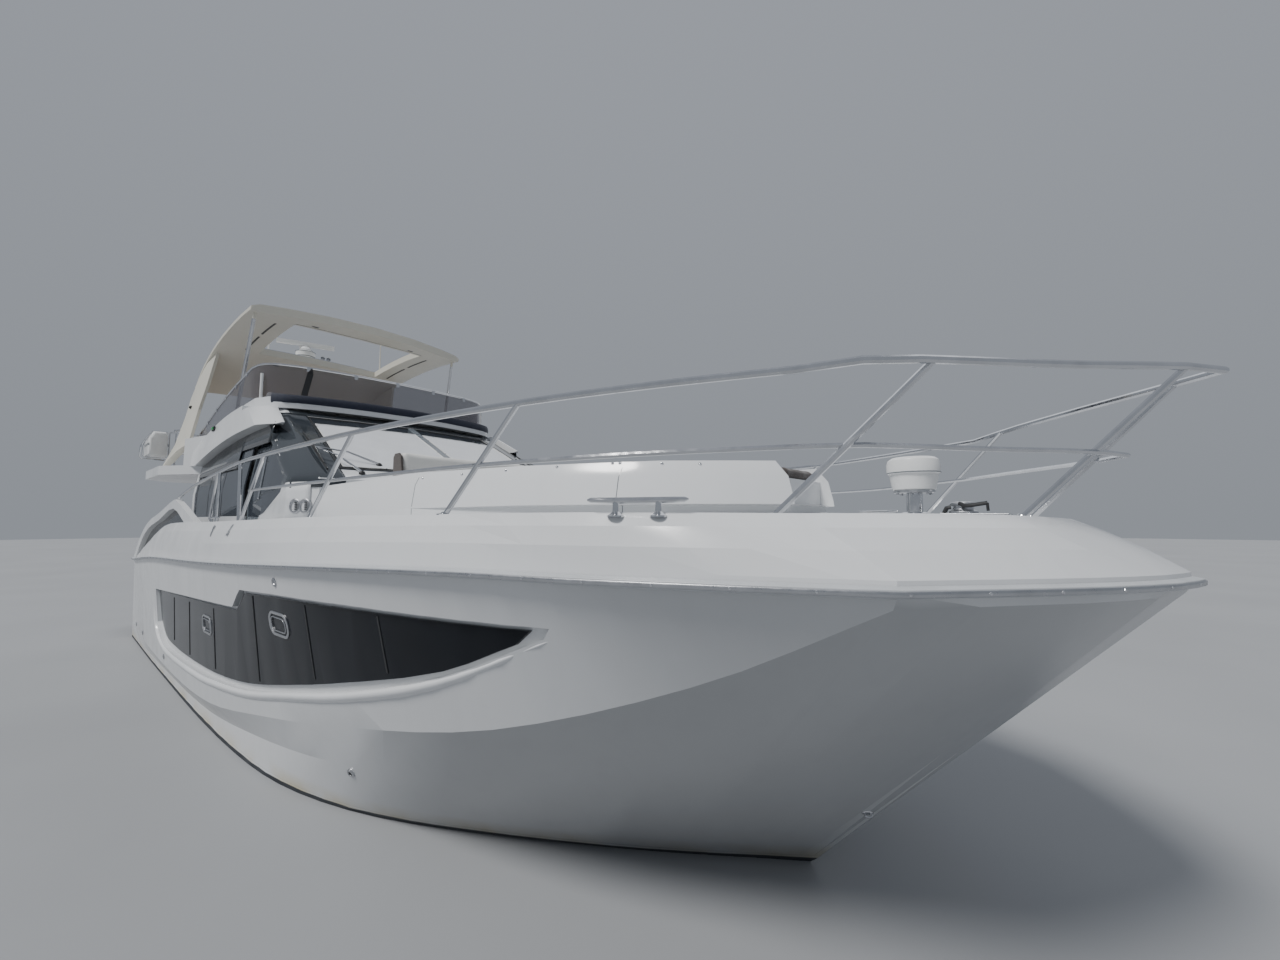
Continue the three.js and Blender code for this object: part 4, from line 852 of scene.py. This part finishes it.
# Windscreen: gaskets, centre mullion and two stretched mesh covers below a bare dark band
SILL, HEADER = (1.312, 2.66), (1.19, 3.385)
COVER_ROWS, COVER_COLS = 14, 22
COVER_FOOT, COVER_HEIGHT, COVER_INNER, COVER_LIFT = 2.672, 0.6, 0.052, 0.009
shape = Shape()
for ends in ([(-SILL[0], SILL[1]), SILL], [SILL, HEADER], [(-HEADER[0], HEADER[1]), HEADER],
             [(-SILL[0], SILL[1]), (-HEADER[0], HEADER[1])]):
    shape.hug(trace(ends, 16, ahead, "windscreen"), strip(0.034, 0.005))
shape.place("windscreen_gasket", "black")
shape = Shape().hug(trace([(0, SILL[1]), (0, HEADER[1])], 8, ahead, "windscreen"), strip(0.085, 0.01, 0.3))
shape.place("windscreen_mullion", "grey_panel")


def cover(side, name):
    lines = []
    for i in range(COVER_ROWS + 1):
        z = COVER_FOOT + COVER_HEIGHT * i / COVER_ROWS
        # The screen's half width at this height, less a margin
        outer = 1.31 - 0.12 * (z - 2.66) / 0.725 - 0.025
        line = []
        for k in range(COVER_COLS + 1):
            y = side * (COVER_INNER + (outer - COVER_INNER) * k / COVER_COLS)
            spot, normal = ahead(y, z, "windscreen")
            sag = 0.004 * math.sin(math.pi * i / COVER_ROWS) * math.sin(math.pi * k / COVER_COLS)
            line.append(spot + normal * (COVER_LIFT - sag * 0.6 + 0.0012 * math.sin(k * 1.7 + i * 0.9)))
        lines.append(line)
    o = Shape().grid(lines).place(name, "mesh_cover", crease=80)
    edge = lines[0] + [line[-1] for line in lines[1:]] + lines[-1][-2::-1]
    edge += [line[0] for line in lines[-2:0:-1]]
    hem = Shape().tube([q + Vector((0.002, 0, 0.001)) for q in edge], 0.005, 6, closed=True)
    hem.place(name + "_hem", "white_vinyl")
    studs = Shape()
    for q in edge[::5]:
        studs.turned([(0.008, 0.002), (0.007, 0.007), (0.004, 0.009), (0, 0.0095)], q, (0.82, 0, 0.57), 8)
    studs.place(name + "_studs", "steel")


cover(-1, "windscreen_cover_stbd")
cover(1, "windscreen_cover_port")

# Wipers: twin arms from a deck boss to a long blade
WIPER_PIXELS = (327, 472), (303, 435)
WIPER_BOSS_PIXELS = ((379, 466), (362, 474))
WIPED = ("windscreen", "deckhouse", "lounge")
(heel, normal), (tip, _) = (seen(u, v, *WIPED) for u, v in WIPER_PIXELS)
hits = [(heel.lerp(tip, k / 8) + normal * 0.022, normal) for k in range(9)]
centre = hits[4][0] + normal * 0.045
blade, arms, caps = Shape(), Shape(), Shape()
blade.hug(hits, [(-0.004, 0), (-0.009, 0.012), (-0.006, 0.02), (0.006, 0.02), (0.009, 0.012), (0.004, 0)])
blade.tube([hits[1][0] + normal * 0.024, centre, hits[7][0] + normal * 0.024], 0.006, 6)
for u, v in WIPER_BOSS_PIXELS:
    root, out = seen(u, v, *WIPED)
    arms.tube([root + out * 0.02, root.lerp(centre, 0.5) + out * 0.05, centre], [0.012, 0.009, 0.006])
    caps.turned([(0.03, -0.004), (0.03, 0.012), (0.022, 0.026), (0.008, 0.034), (0, 0.035)], root, out, 16)
both(blade, "wiper_blade", "black")
both(arms, "wiper_arms", "steel")
both(caps, "wiper_bosses", "black")

# Lounge moulding: vents, panel seams and cover studs
VENT_PIXELS = ((296.5, 511), (306.5, 511))
SEAM_PIXELS = ((413.5, 495), (617, 490))
STUD_PIXELS = ((423, 478), (462, 474.5), (506, 470.6), (557, 467), (612.6, 463.5), (620, 463.2), (662, 463.6),
               (700, 464))
MOULDING = ("lounge", "deckhouse")
VENT_BORE, LOUVRE_PITCH = 0.046, 0.017
shape, hole = Shape(), Shape()
for u, v in VENT_PIXELS:
    spot, normal = beside(seen(u, v, *MOULDING)[0].x, 2.27, *MOULDING)
    spot -= PORT * 0.013
    shape.turned([(0.072, -0.004), (0.072, 0.006), (0.062, 0.011), (0.05, 0.009), (0.047, -0.004)],
                 spot, normal, 28)
    for k in range(-2, 3):
        half = math.sqrt(VENT_BORE ** 2 - (LOUVRE_PITCH * k) ** 2)
        z = spot.z + LOUVRE_PITCH * k
        hole.block((spot.x - half, spot.y - 0.006, z - 0.004), (spot.x + half, spot.y + 0.002, z + 0.004))
both(shape, "lounge_vent", "dull_steel")
both(hole, "vent_louvres", "black")

shape = Shape()
for u, v in SEAM_PIXELS:
    x = seen(u, v, *MOULDING)[0].x
    shape.hug(trace([(x, 2.16), (x, 2.46)], 10, beside, *MOULDING), strip(0.005, 0.0008))
both(shape, "lounge_seam", "grey_panel")

shape = Shape()
for u, v in STUD_PIXELS:
    shape.turned([(0.011, -0.001), (0.009, 0.005), (0.005, 0.008), (0, 0.0085)], *seen(u, v, *MOULDING), 10)
both(shape, "lounge_studs", "steel")

# Backrest ends in dark cloth
BACK_END = [(2.33, 2.49), (2.51, 2.49), (2.52, 2.6), (2.49, 2.74), (2.45, 2.777), (2.36, 2.777), (2.33, 2.74)]
for side, tag in ((1, "port"), (-1, "stbd")):
    shape = Shape().slab([(x, side * 1.052, z) for x, z in BACK_END], (0, side * 0.02, 0))
    shape.place("backrest_end_" + tag, "brown", bevel=0.008)


# Dark glass that wraps the house from the side windows to the windscreen, and over its top
GLASS_FOOT, GLASS_HEIGHT, GLASS_CELLS, GLASS_THICK = 2.445, 0.975, 26, 0.003
GLASS_LIFT = 0.009


# The house's side leans inboard with height: its y at a height
def house_side(z):
    return -1.721 + 0.155 * (z - 2.53) / 0.97


# Where the wrapped glass ends aft, at the side windows: its x at a height
def side_edge(z):
    if z < 2.56:
        return 1.13 + 0.37 * (z - 2.19) / 0.37
    if z < 3.09:
        return max(0.7, 1.47 - 0.86 * (z - 2.56) / 0.5)
    return min(0.6, 1.82 - 1.92 * (z - 2.53) / 0.97)


def wrapped(z):
    front, _ = ahead(-(1.336 - 0.13 * (z - 2.64) / 0.76), z, "deckhouse", "windscreen")
    heart = Vector((-0.6, 0, z))
    a = math.atan2(front.y, front.x - heart.x)
    b = math.atan2(-1.66, side_edge(z) - heart.x)
    line = []
    for k in range(GLASS_CELLS + 1):
        turn = a + (b - a) * k / GLASS_CELLS
        out = Vector((math.cos(turn), math.sin(turn), 0))
        spot, normal = drop(heart + out * 5, -out,
                            "deckhouse", "corner_glass_stbd", "side_glass_stbd", "windscreen")
        line.append(spot + normal * GLASS_LIFT)
    return line + [Vector((side_edge(z) - 0.045, house_side(max(z, 2.53)) - GLASS_LIFT, z))]


rows = [wrapped(GLASS_FOOT + GLASS_HEIGHT * i / GLASS_CELLS) for i in range(GLASS_CELLS + 1)]
both(Shape().grid(rows), "pillar_glass", "pillar", sheet=GLASS_THICK)

# Tail of the lounge moulding, which runs aft along the house and ends in a ramp
WING_AFT, WING_LENGTH, WING_STEPS = 0.66, 1.2, 18
lines = []
for k in range(WING_STEPS + 1):
    x = WING_AFT + WING_LENGTH * k / WING_STEPS
    top = min(2.163 + 0.379 * (x - WING_AFT) / 0.976, 2.5)
    hits = trace([(x, 2.135), (x, top)], 4, beside, "deckhouse", "corner_glass_stbd", "side_glass_stbd")
    lines.append([spot - PORT * 0.012 for spot, _ in hits])
both(Shape().grid(lines), "lounge_wing", "deck", sheet=0.006)
lines = []
for z in (3.405, 3.43, 3.46, 3.492):
    hits = trace([(-1.36, z), (1.36, z)], 28, ahead, "deckhouse")
    lines.append([spot + normal * 0.006 for spot, normal in hits])
Shape().grid(lines).place("visor_glass", "pillar", sheet=GLASS_THICK)


# The glass carries on above the side windows, up to the fascia
def fascia_foot(x):
    rows = [(-3.14, 2.99), (-2.8, 2.96), (-1.97, 3.08), (-1.2, 3.16), (-0.5, 3.2), (0.7, 3.207)]
    for (x0, z0), (x1, z1) in zip(rows, rows[1:]):
        if x <= x1:
            return z0 + (z1 - z0) * (x - x0) / (x1 - x0)
    return rows[-1][1]


lines = [[], []]
for x in [-2.86 + 0.112 * k for k in range(21)] + [-0.619] + [-0.6 + 0.1 * k for k in range(13)]:
    for line, z in zip(lines, (2.785 if x < -0.61 else 3.0, fascia_foot(x) + 0.03)):
        line.append(Vector((x, house_side(z), z)))
both(Shape().grid(lines), "upper_glass", "pillar", sheet=GLASS_THICK)

# Side windows: pane joints and the sliding door's frame, sill and pull
shape = Shape()
for x in (-2.0, -1.2):
    shape.hug(trace([(x, 2.2), (x, 2.79)], 8, beside, "side_glass_stbd"), strip(0.012, 0.002))
both(shape, "side_pane_joint", "black")
door = Shape()
for ends, width in (([(-0.1, 2.14), (-0.1, 2.98)], 0.05), ([(0.61, 2.14), (0.61, 2.98)], 0.05),
                    ([(-0.1, 2.145), (0.61, 2.145)], 0.06), ([(-0.1, 2.96), (0.61, 2.96)], 0.05)):
    door.hug(trace(ends, 8, beside, "helm_door"), strip(width, 0.004))
door.place("helm_door_frame", "grey_panel", body="helm_door")
pull = Shape()
ends = []
for z in (2.42, 2.78):
    spot, normal = beside(0.52, z, "helm_door")
    ends.append(spot + normal * 0.045)
    pull.tube([spot - normal * 0.004, ends[-1]], 0.009, 10)
    pull.turned([(0.02, 0), (0.02, 0.005), (0.012, 0.008)], spot, normal, 14)
way = (ends[1] - ends[0]).normalized()
pull.tube([ends[0] - way * 0.05, ends[0] - way * 0.045, ends[1] + way * 0.045, ends[1] + way * 0.05],
          [0.006, 0.012, 0.012, 0.006], 12)
pull.place("helm_door_pull", "steel", body="helm_door")

# Flybridge front: navy band, strap, corner post and clamps on the wind deflector
BAND = [(0.004, 3.565), (0.013, 3.585), (0.016, 3.615), (0.012, 3.65), (0.004, 3.665),
        (-0.01, 3.66), (-0.01, 3.57)]
BAND_HALF, BAND_STEPS = 1.5, 32
rings = []
for k in range(BAND_STEPS + 1):
    y = BAND_HALF * (2 * k / BAND_STEPS - 1)
    front, _ = ahead(y, 3.6, "flybridge")
    top, normal = ahead(y, 3.7, "wind_deflector")
    heart = Vector((max(top.x, front.x), y, 0))
    rings.append([heart + level(normal) * d + UP * z for d, z in BAND])
Shape().rings(rings).place("deflector_band", "navy", crease=70)

STRAP_PIXELS = ((311.7, 369.5), (304, 396))
POST_PIXELS = ((262.5, 397), (261, 374))
hits = trace(STRAP_PIXELS, 6, seen, "wind_deflector", "deflector_rail")
Shape().hug(hits, strip(0.07, 0.006)).place("deflector_strap", "black")
foot, _ = seen(*POST_PIXELS[0], "wind_deflector", "flybridge")
crown, normal = seen(*POST_PIXELS[1], "wind_deflector", "deflector_rail")
ends = [Vector((foot.x, foot.y, z)) + level(normal) * 0.022 for z in (3.635, crown.z)]
both(Shape().tube(ends, 0.017, 12), "deflector_post", "white")


def clamp(shape, spot, out):
    along = out.cross(UP)
    corners = [spot + along * a + out * b for a, b in ((-0.022, 0.005), (0.022, 0.005), (0.022, 0.015),
                                                       (-0.022, 0.015))]
    shape.slab([q - UP * 0.065 for q in corners], (0, 0, 0.06))
    shape.turned([(0.009, 0), (0.008, 0.006), (0, 0.0065)], spot + out * 0.0145 - UP * 0.04, out, 10)


shape = Shape()
for x in (-3.55, -3.0, -2.45, -1.9, -1.35, -0.8):
    clamp(shape, below(x, -1.585, "deflector_rail", top=6)[0], -PORT)
shape.with_mirror()
for y in (-1.1, -0.55, 0, 0.55, 1.1):
    inner = ahead(y, 3.8, "wind_deflector")[0].x - 0.006
    clamp(shape, Vector((inner, y, below(inner, y, "deflector_rail", top=6)[0].z)), BOW)
shape.place("deflector_clamps", "steel")

# Hardtop: polished pole sleeves, underside lamps, dark slots and opening trim
foot, crown = Vector((-1.6, -1.535, 3.5)), Vector((-1.18, -1.47, 5.03))
spot = foot.lerp(crown, 0.07)
shape = Shape().tube([spot, foot.lerp(crown, 0.93)], 0.0235, 16)
shape.turned([(0.045, 0), (0.045, 0.006), (0.03, 0.012), (0.026, 0.03)], spot, crown - foot, 18)
both(shape, "roof_pole_sleeve", "steel")

lens, bezel = Shape(), Shape()
for x, y in ((-1.22, -0.72), (-1.22, 0.72), (-3.6, -0.6), (-3.6, 0.6)):
    z = under_roof(x, y)[0].z + 0.01
    for a, b, c, shape in ((0.05, 0.022, 0.004, bezel), (0.04, 0.014, 0.006, lens)):
        shape.slab(panel(x - b, z, x + b, z, y - a, y + a), (0, 0, -0.01 - c))
bezel.place("roof_lamp_bezels", "dull_steel", bevel=0.001)
lens.place("roof_lamp_lenses", "black", bevel=0.001)
shape = Shape()
for x0, x1 in ((-3.1, -2.35), (-2.2, -1.5)):
    shape.hug(trace([(x0, -1.15), (x1, -1.15)], 8, under_roof), strip(0.028, 0.003))
shape.with_mirror()
shape.hug(trace([(-1.3, -0.95), (-1.3, 0.95)], 16, under_roof), strip(0.008, 0.002))
shape.place("roof_slots", "black")
shape = Shape()
for ends in ([(-3.18, -0.97), (-1.38, -0.97)], [(-3.18, 0.97), (-1.38, 0.97)],
             [(-3.215, -0.985), (-3.215, 0.985)], [(-1.345, -0.985), (-1.345, 0.985)]):
    shape.hug(trace(ends, 14, over_roof), strip(0.03, 0.012, 0.4))
shape.place("sunroof_track", "dull_steel")

# Radar: seam rings on the pedestal, and two small aerials beside it
shape = Shape()
for z, r in ((5.345, 0.172), (5.44, 0.167), (5.48, 0.112)):
    shape.turned([(r, -0.006), (r + 0.004, -0.002), (r + 0.004, 0.002), (r, 0.006)], (-4.1, 0, z), sides=28)
shape.place("radar_seams", "grey_panel")
DOME = [(0.05, 0), (0.048, 0.01), (0.02, 0.014), (0.016, 0.09), (0.05, 0.1), (0.055, 0.125),
        (0.035, 0.145), (0, 0.15)]
STALK = [(0.03, 0), (0.03, 0.012), (0.014, 0.02), (0.012, 0.5), (0.03, 0.505), (0.034, 0.55), (0.028, 0.58),
         (0, 0.585)]
shape = Shape()
for profile, x, y, sides in ((DOME, -4.35, 0.75, 22), (STALK, -4.05, -0.62, 20)):
    shape.turned(profile, (x, y, under_roof(x, y)[0].z + 0.1), sides=sides)
shape.place("roof_aerials", "white")

# Consoles: the flybridge's dark dash and screens, and wheels and throttles there and in the saloon
shape = Shape().slab(panel(-1.172, 3.703, -0.868, 3.843, -1.3, -0.3), (-0.004, 0, 0.009))
shape.slab(panel(-1.252, 3.59, -1.186, 3.696, -1.28, -0.32), (-0.009, 0, 0.004))
shape.place("fly_dash", "black", bevel=0.004)
shape = Shape()
for y0, y1 in ((-1.24, -0.88), (-0.84, -0.48)):
    shape.slab([(x, y, 3.713 + (x + 1.172) * 0.46) for x, y in rect(-1.13, -0.9, y0, y1)], (-0.005, 0, 0.012))
shape.place("fly_screens", "dark_glass", bevel=0.003)

SPOKES = 5


def wheel(name, spot, tilt, radius=0.19):
    axis = Vector((-math.cos(tilt), 0, math.sin(tilt)))
    up = axis.cross(PORT)
    spot = Vector(spot)
    rim = Shape().tube([spot + (PORT * u + up * v) * radius for u, v in disc(36)], 0.015, 10, closed=True)
    rim.place(name + "_rim", "black")
    hub = Shape().turned([(0.02, -0.09), (0.02, -0.01), (0.045, 0.0), (0.045, 0.02), (0.03, 0.028),
                          (0, 0.03)], spot, axis)
    for k in range(SPOKES):
        a = math.pi / 2 + 2 * math.pi * k / SPOKES
        out = PORT * math.cos(a) + up * math.sin(a)
        hub.tube([spot + out * 0.03 + axis * 0.01, spot + out * radius * 0.6 + axis * 0.006,
                  spot + out * (radius - 0.006)], [0.01, 0.008, 0.009])
    hub.place(name + "_hub", "steel")


wheel("fly_wheel", (-1.335, -0.8, 3.68), 0.45)
wheel("saloon_wheel", (0.37, -0.9, 1.86), 0.4)

levers, grips = Shape(), Shape()
for x, y, z in ((-1.06, -0.38, 3.765), (0.62, -0.5, 2.14)):
    levers.turned([(0.055, -0.004), (0.055, 0.02), (0.04, 0.045), (0, 0.05)], (x, y, z))
    for lever_y in (y - 0.03, y + 0.03):
        levers.tube([(x, lever_y, z + 0.03), (x - 0.035, lever_y, z + 0.13)], 0.006)
        grips.tube([(x - dx, lever_y, z + dz) for dx, dz in ((0.03, 0.115), (0.035, 0.13), (0.044, 0.155))],
                   [0.009, 0.014, 0.012], 10)
levers.place("throttle_levers", "steel")
grips.place("throttle_grips", "black")

# Laid teak on the flybridge, cockpit sole, side decks, steps and bathing platform
LAID = [(-3.2, -1.28, -0.38, 0.8, 3.0, 0.006), (-5.45, -4.72, -1.48, 1.48, 3.0, 0.006),
        (-4.72, -3.22, -1.48, 0.93, 3.0, 0.006), (-5.08, -3.03, -1.42, 1.42, 0.95, 0.003)]
shape = Shape()
for x0, x1, y0, y1, z, proud in LAID:
    shape.block((x0, y0, z - 0.004), (x1, y1, z + proud))
for side in SIDES:
    plan = [(-5.08, 1.72), (-4.62, 1.71), (-3.34, 1.7), (-3.34, 1.42), (-5.08, 1.42)]
    shape.slab([(x, side * y, 0.946) for x, y in plan], (0, 0, 0.007))
for side in SIDES:
    shape.block((-6.03, side * 1.19, 0.686), (-5.79, side * 1.76, 0.696))
    shape.block((-5.66, side * 1.19, 0.946), (-5.14, side * 1.76, 0.953))
half = [(-6.26, 1.62), (-7.3, 1.62)]
half += [(-7.3 - 0.33 * math.sin(a), 1.29 + 0.33 * math.cos(a)) for a in (0.3, 0.6, 0.9, 1.2)]
half.append((-7.63, 1.2))
plan = [(half[0][0], -half[0][1]), *half, *((x, -y) for x, y in half[:0:-1])]
shape.slab([(x, y, 0.416) for x, y in plan], (0, 0, 0.01))
shape.place("laid_teak", "teak", bevel=0.003)

# Transom: locker door seam, tail lamps, handrails and platform edge
ring = [(-1.0, 0.55), (1.0, 0.55), (1.0, 1.32), (-1.0, 1.32)]
hits = trace(ring + ring[:1], 6, astern, "hull", "deck")[:-1]
Shape().hug(hits, strip(0.008, 0.0015), closed=True).place("transom_door_seam", "black")
rails, feet, lens, bezel = Shape(), Shape(), Shape(), Shape()
for side in SIDES:
    y = side * 1.12
    rails.tube(curve([(-6.1, y, 1.62), (-6.12, y, 1.8), (-6.0, y, 1.86), (-5.8, y, 1.86), (-5.72, y, 1.8),
                      (-5.72, y, 1.63)], 5), 0.014, 10)
    for x in (-6.1, -5.72):
        feet.turned([(0.034, 0), (0.034, 0.005), (0.018, 0.012)], (x, y, 1.638), sides=16)
    hit = astern(side * 0.72, 1.43, "hull", "deck")
    bezel.turned([(0.045, -0.006), (0.045, 0.006), (0.036, 0.012)], *hit)
    lens.turned([(0.036, -0.004), (0.036, 0.009), (0.022, 0.016), (0, 0.018)], *hit)
rails.place("transom_handrails", "steel")
feet.place("handrail_feet", "steel")
bezel.place("tail_lamp_bezels", "steel")
lens.place("tail_lamp_lenses", "lamp")
path = [(-6.22, 1.855), (-7.2, 1.855)]
path += [(-7.33 - 0.42 * math.sin(a), 1.43 + 0.425 * math.cos(a)) for a in (0.2, 0.6, 1.0, 1.4)]
path = [Vector((x, y, 0.375)) for x, y in path]
path += across_ship(reversed(path))
hits = []
for q in path:
    heart = Vector((-6.6 if q.x < -7.2 else q.x, 0, 0.375))
    out = (q - heart).normalized()
    hits.append(drop(q + out, -out, "swim_platform"))
Shape().hug(hits, strip(0.034, 0.014, 0.4)).place("platform_fender", "rub")
ladder = Shape()
for y in (1.0, 1.3):
    ladder.tube([(-7.6, y, 0.3), (-7.0, y, 0.3), (-6.95, y, 0.315)], 0.014)
for x in (-7.55, -7.4, -7.25):
    ladder.tube([(x, 1.0, 0.3), (x, 1.3, 0.3)], 0.012)
ladder.place("boarding_ladder", "steel")

# Stair treads' grip strips and a rail beside the flight
SOLE, STAIR_TOP, TREADS, GOING, FIRST_TREAD = 0.95, 2.86, 6, 0.19, -3.35
rise = (STAIR_TOP - SOLE) / (TREADS + 1)
shape = Shape()
for k in range(TREADS):
    z = SOLE + rise * (k + 1)
    for dx in (-0.05, -0.1, -0.15):
        x = FIRST_TREAD - GOING * k + dx
        shape.block((x - 0.008, 1.06, z - 0.001), (x + 0.008, 1.45, z + 0.003))
shape.place("tread_grips", "black")
HANDRAIL = [(-3.2, 0.98), (-3.2, 1.75), (-3.32, 1.92), (-3.75, 2.4), (-4.05, 2.74), (-4.1, 2.855)]
Shape().tube(curve([(x, 0.97, z) for x, z in HANDRAIL], 4), 0.016, 10).place("stair_rail", "steel")

# The flybridge rail's bars run on to the arch legs' aft edges, where a flange holds each end
rail_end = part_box("fly_rail")[1].x
shape = Shape()
for bar_y, leg_y, z, radius in ((1.69, 1.632, 3.78, 0.0165), (1.695, 1.721, 3.4, 0.0105)):
    spot, _ = astern(leg_y, z, "arch_leg_port", start=-6)
    shape.tube([Vector((rail_end - 0.015, bar_y, z)), spot + BOW * 0.004], radius, 12)
    shape.turned([(0.03, -0.006), (0.03, 0.004), (0.02, 0.01)], spot, -BOW, 18)
shape.with_mirror().place("fly_rail_flanges", "steel")

# Life raft: ribbed case halves, seam and straps on its cradle
RAFT = Vector((-5.75, -1.87, 3.54))
SECTION = [(-0.130, -0.190), (-0.095, -0.233), (0.095, -0.233), (0.130, -0.195), (0.130, 0.195),
           (0.095, 0.233), (-0.070, 0.233), (-0.130, 0.115)]
SEAM = [(-0.27, -0.132), (0.27, -0.132), (0.293, -0.1), (0.293, 0.1), (0.27, 0.132),
        (-0.27, 0.132), (-0.293, 0.1), (-0.293, -0.1)]


def raft_bands(places, profile):
    shape = Shape()
    for x in places:
        shape.rings([[RAFT + Vector((x + dx, y * size, z * size)) for y, z in SECTION]
                     for dx, size in profile])
    return shape


ribs = raft_bands((-0.225, -0.125, -0.045, 0.045, 0.125, 0.225),
                  ((-0.018, 0.99), (-0.012, 1.028), (0.012, 1.028), (0.018, 0.99)))
ribs.place("raft_ribs", "white", bevel=0.002, crease=25)
straps = raft_bands((-0.085, 0.085), ((-0.014, 0.995), (-0.013, 1.014), (0.013, 1.014), (0.014, 0.995)))
straps.place("raft_straps", "black")
seam = Shape()
for z in (-0.012, 0.012):
    seam.tube([RAFT + Vector((x, y, z)) for x, y in SEAM], 0.006, 6, closed=True)
seam.place("raft_seam", "grey_panel")

# Side lamps on the flybridge wings, horn on the radar's plate and lamps on the arch legs
shells, arch_lamps = Shape(), Shape()
for side, name, finish in ((1, "side_lamp_port", "red"), (-1, "side_lamp_stbd", "green")):
    (x, y, _), _ = inboard(side, -1.9, 3.43, "fascia_port", "fascia_stbd", "flybridge")
    shells.block((x - 0.075, y, 3.4), (x + 0.075, y + side * 0.02, 3.46))
    lens = Shape().block((x - 0.045, y + side * 0.012, 3.412), (x + 0.06, y + side * 0.034, 3.448))
    lens.place(name, finish, bevel=0.008)
shells.place("side_lamp_shells", "black", bevel=0.004)
HORN = [(0.012, 0), (0.014, 0.14), (0.022, 0.19), (0.04, 0.22), (0.041, 0.224), (0.036, 0.222), (0.012, 0.16),
        (0, 0.15)]
shape = Shape()
for y in (0.27, 0.37):
    shape.turned(HORN, (-4.2, y, 5.365), BOW, 16)
    shape.block((-4.13, y - 0.01, 5.312), (-4.11, y + 0.01, 5.36))
shape.place("horn", "steel")
for side in SIDES:
    arch_lamps.turned([(0.03, -0.004), (0.03, 0.01), (0.02, 0.03), (0, 0.034)],
                      *inboard(side, -4.3, 4.1, "arch_leg_port", "arch_leg_stbd"), 14)
arch_lamps.place("arch_lamps", "black")

# Underwater: thruster rings and grilles, trim tabs, anodes and water intakes
THRUSTER_X, THRUSTER_Z, RING_RADIUS, TUNNEL_RADIUS, BAR_PITCH = 4.6, -0.27, 0.11, 0.1, 0.034
shape, bars = Shape(), Shape()
for side in SIDES:
    hits = [drop((THRUSTER_X + RING_RADIUS * u, side * 4, THRUSTER_Z + RING_RADIUS * v), -side * PORT, "hull")
            for u, v in disc(28)]
    shape.hug(hits, strip(0.026, 0.006), closed=True)
    for k in (-2, -1, 0, 1, 2):
        half = math.sqrt(TUNNEL_RADIUS ** 2 - (BAR_PITCH * k) ** 2) + 0.012
        ends = [drop((THRUSTER_X + BAR_PITCH * k, side * 4, THRUSTER_Z + h), -side * PORT, "hull")[0]
                for h in (-half, half)]
        bars.tube(ends, 0.006, 6)
shape.place("thruster_rings", "bronze")
bars.place("thruster_grilles", "bronze")
shape = Shape()
for side in SIDES:
    y0, y1 = sorted((side * 0.55, side * 1.35))
    shape.slab([(-6.215, y0, -0.36), (-6.215, y1, -0.33), (-6.5, y1, -0.375), (-6.5, y0, -0.405)],
               (0, 0, 0.012))
    for y in (side * 0.75, side * 1.15):
        shape.tube([(-6.19, y, -0.05), (-6.4, y, -0.375)], 0.018, 10)
        shape.turned([(0.03, 0), (0.03, 0.05)], (-6.2, y, -0.06), (-1, 0, -0.6), 12)
shape.place("trim_tabs", "dull_steel")
shape = Shape()
for x, y in ((-3.4, 0.5), (-3.4, -0.5), (-2.6, 0.6), (-2.6, -0.6), (0.8, 0.45)):
    shape.turned([(0.075, -0.004), (0.072, 0.01), (0.05, 0.022), (0.02, 0.026), (0, 0.026)],
                 *above(x, y, "hull"), 18)
for x, y in ((-4.4, 0.25), (-4.4, -0.25), (-1.0, 0.3)):
    z = above(x, y, "hull")[0].z
    shape.rings([[(x + 0.15 * u * a, y + 0.045 * v * b, z + dz) for u, v in disc(18)]
                 for a, b, dz in ((1, 1, 0.005), (1, 1, -0.02), (0.75, 0.7, -0.03))])
shape.place("hull_fittings", "bronze")

# Anchor locker: the lid's flush latch
spot, _ = below(6.42, 0, "locker_lid")
shape = Shape().turned([(0.034, -0.003), (0.034, 0.003), (0.026, 0.006), (0.012, 0.006), (0, 0.004)], spot)
shape.place("locker_lid_latch", "steel", body="locker_lid")

# Floor and light
REACH = 90
floor_mesh = bpy.data.meshes.new("floor")
floor_mesh.from_pydata([(x, y, 0) for x, y in rect(-REACH, REACH, -REACH, REACH)], [], [(0, 1, 2, 3)])
floor = bpy.data.objects.new("floor", floor_mesh)
scene.collection.objects.link(floor)
g = Graph("floor_finish")
g.set(Base_Color=g.mix(g.varied(0.3, 3), (0.3, 0.31, 0.325), (0.325, 0.335, 0.35)), Roughness=0.8)
floor_mesh.materials.append(g.material)

world = bpy.data.worlds.new("studio")
scene.world = world
world.use_nodes = True
wires = world.node_tree
heading = wires.nodes.new("ShaderNodeTexCoord")
parts = wires.nodes.new("ShaderNodeSeparateXYZ")
ramp = wires.nodes.new("ShaderNodeValToRGB")
wires.links.new(heading.outputs["Generated"], parts.inputs[0])
wires.links.new(parts.outputs["Z"], ramp.inputs[0])
wires.links.new(ramp.outputs[0], wires.nodes["Background"].inputs["Color"])
ramp.color_ramp.elements[0].color = (0.5, 0.54, 0.6, 1)
ramp.color_ramp.elements[1].color = (0.66, 0.7, 0.78, 1)
wires.nodes["Background"].inputs["Strength"].default_value = 0.56


def daylight(name, towards, strength, spread, tone):
    lamp = bpy.data.lights.new(name, "SUN")
    lamp.energy = strength
    lamp.angle = math.radians(spread)
    lamp.color = tone
    o = bpy.data.objects.new(name, lamp)
    scene.collection.objects.link(o)
    o.rotation_mode = "QUATERNION"
    o.rotation_quaternion = Vector(towards).to_track_quat("Z", "Y")


daylight("key", (-0.12, -0.6, 0.79), 3.1, 16, (1, 0.985, 0.96))
daylight("fill", (-0.3, 0.7, 0.6), 0.5, 60, (0.95, 0.97, 1))
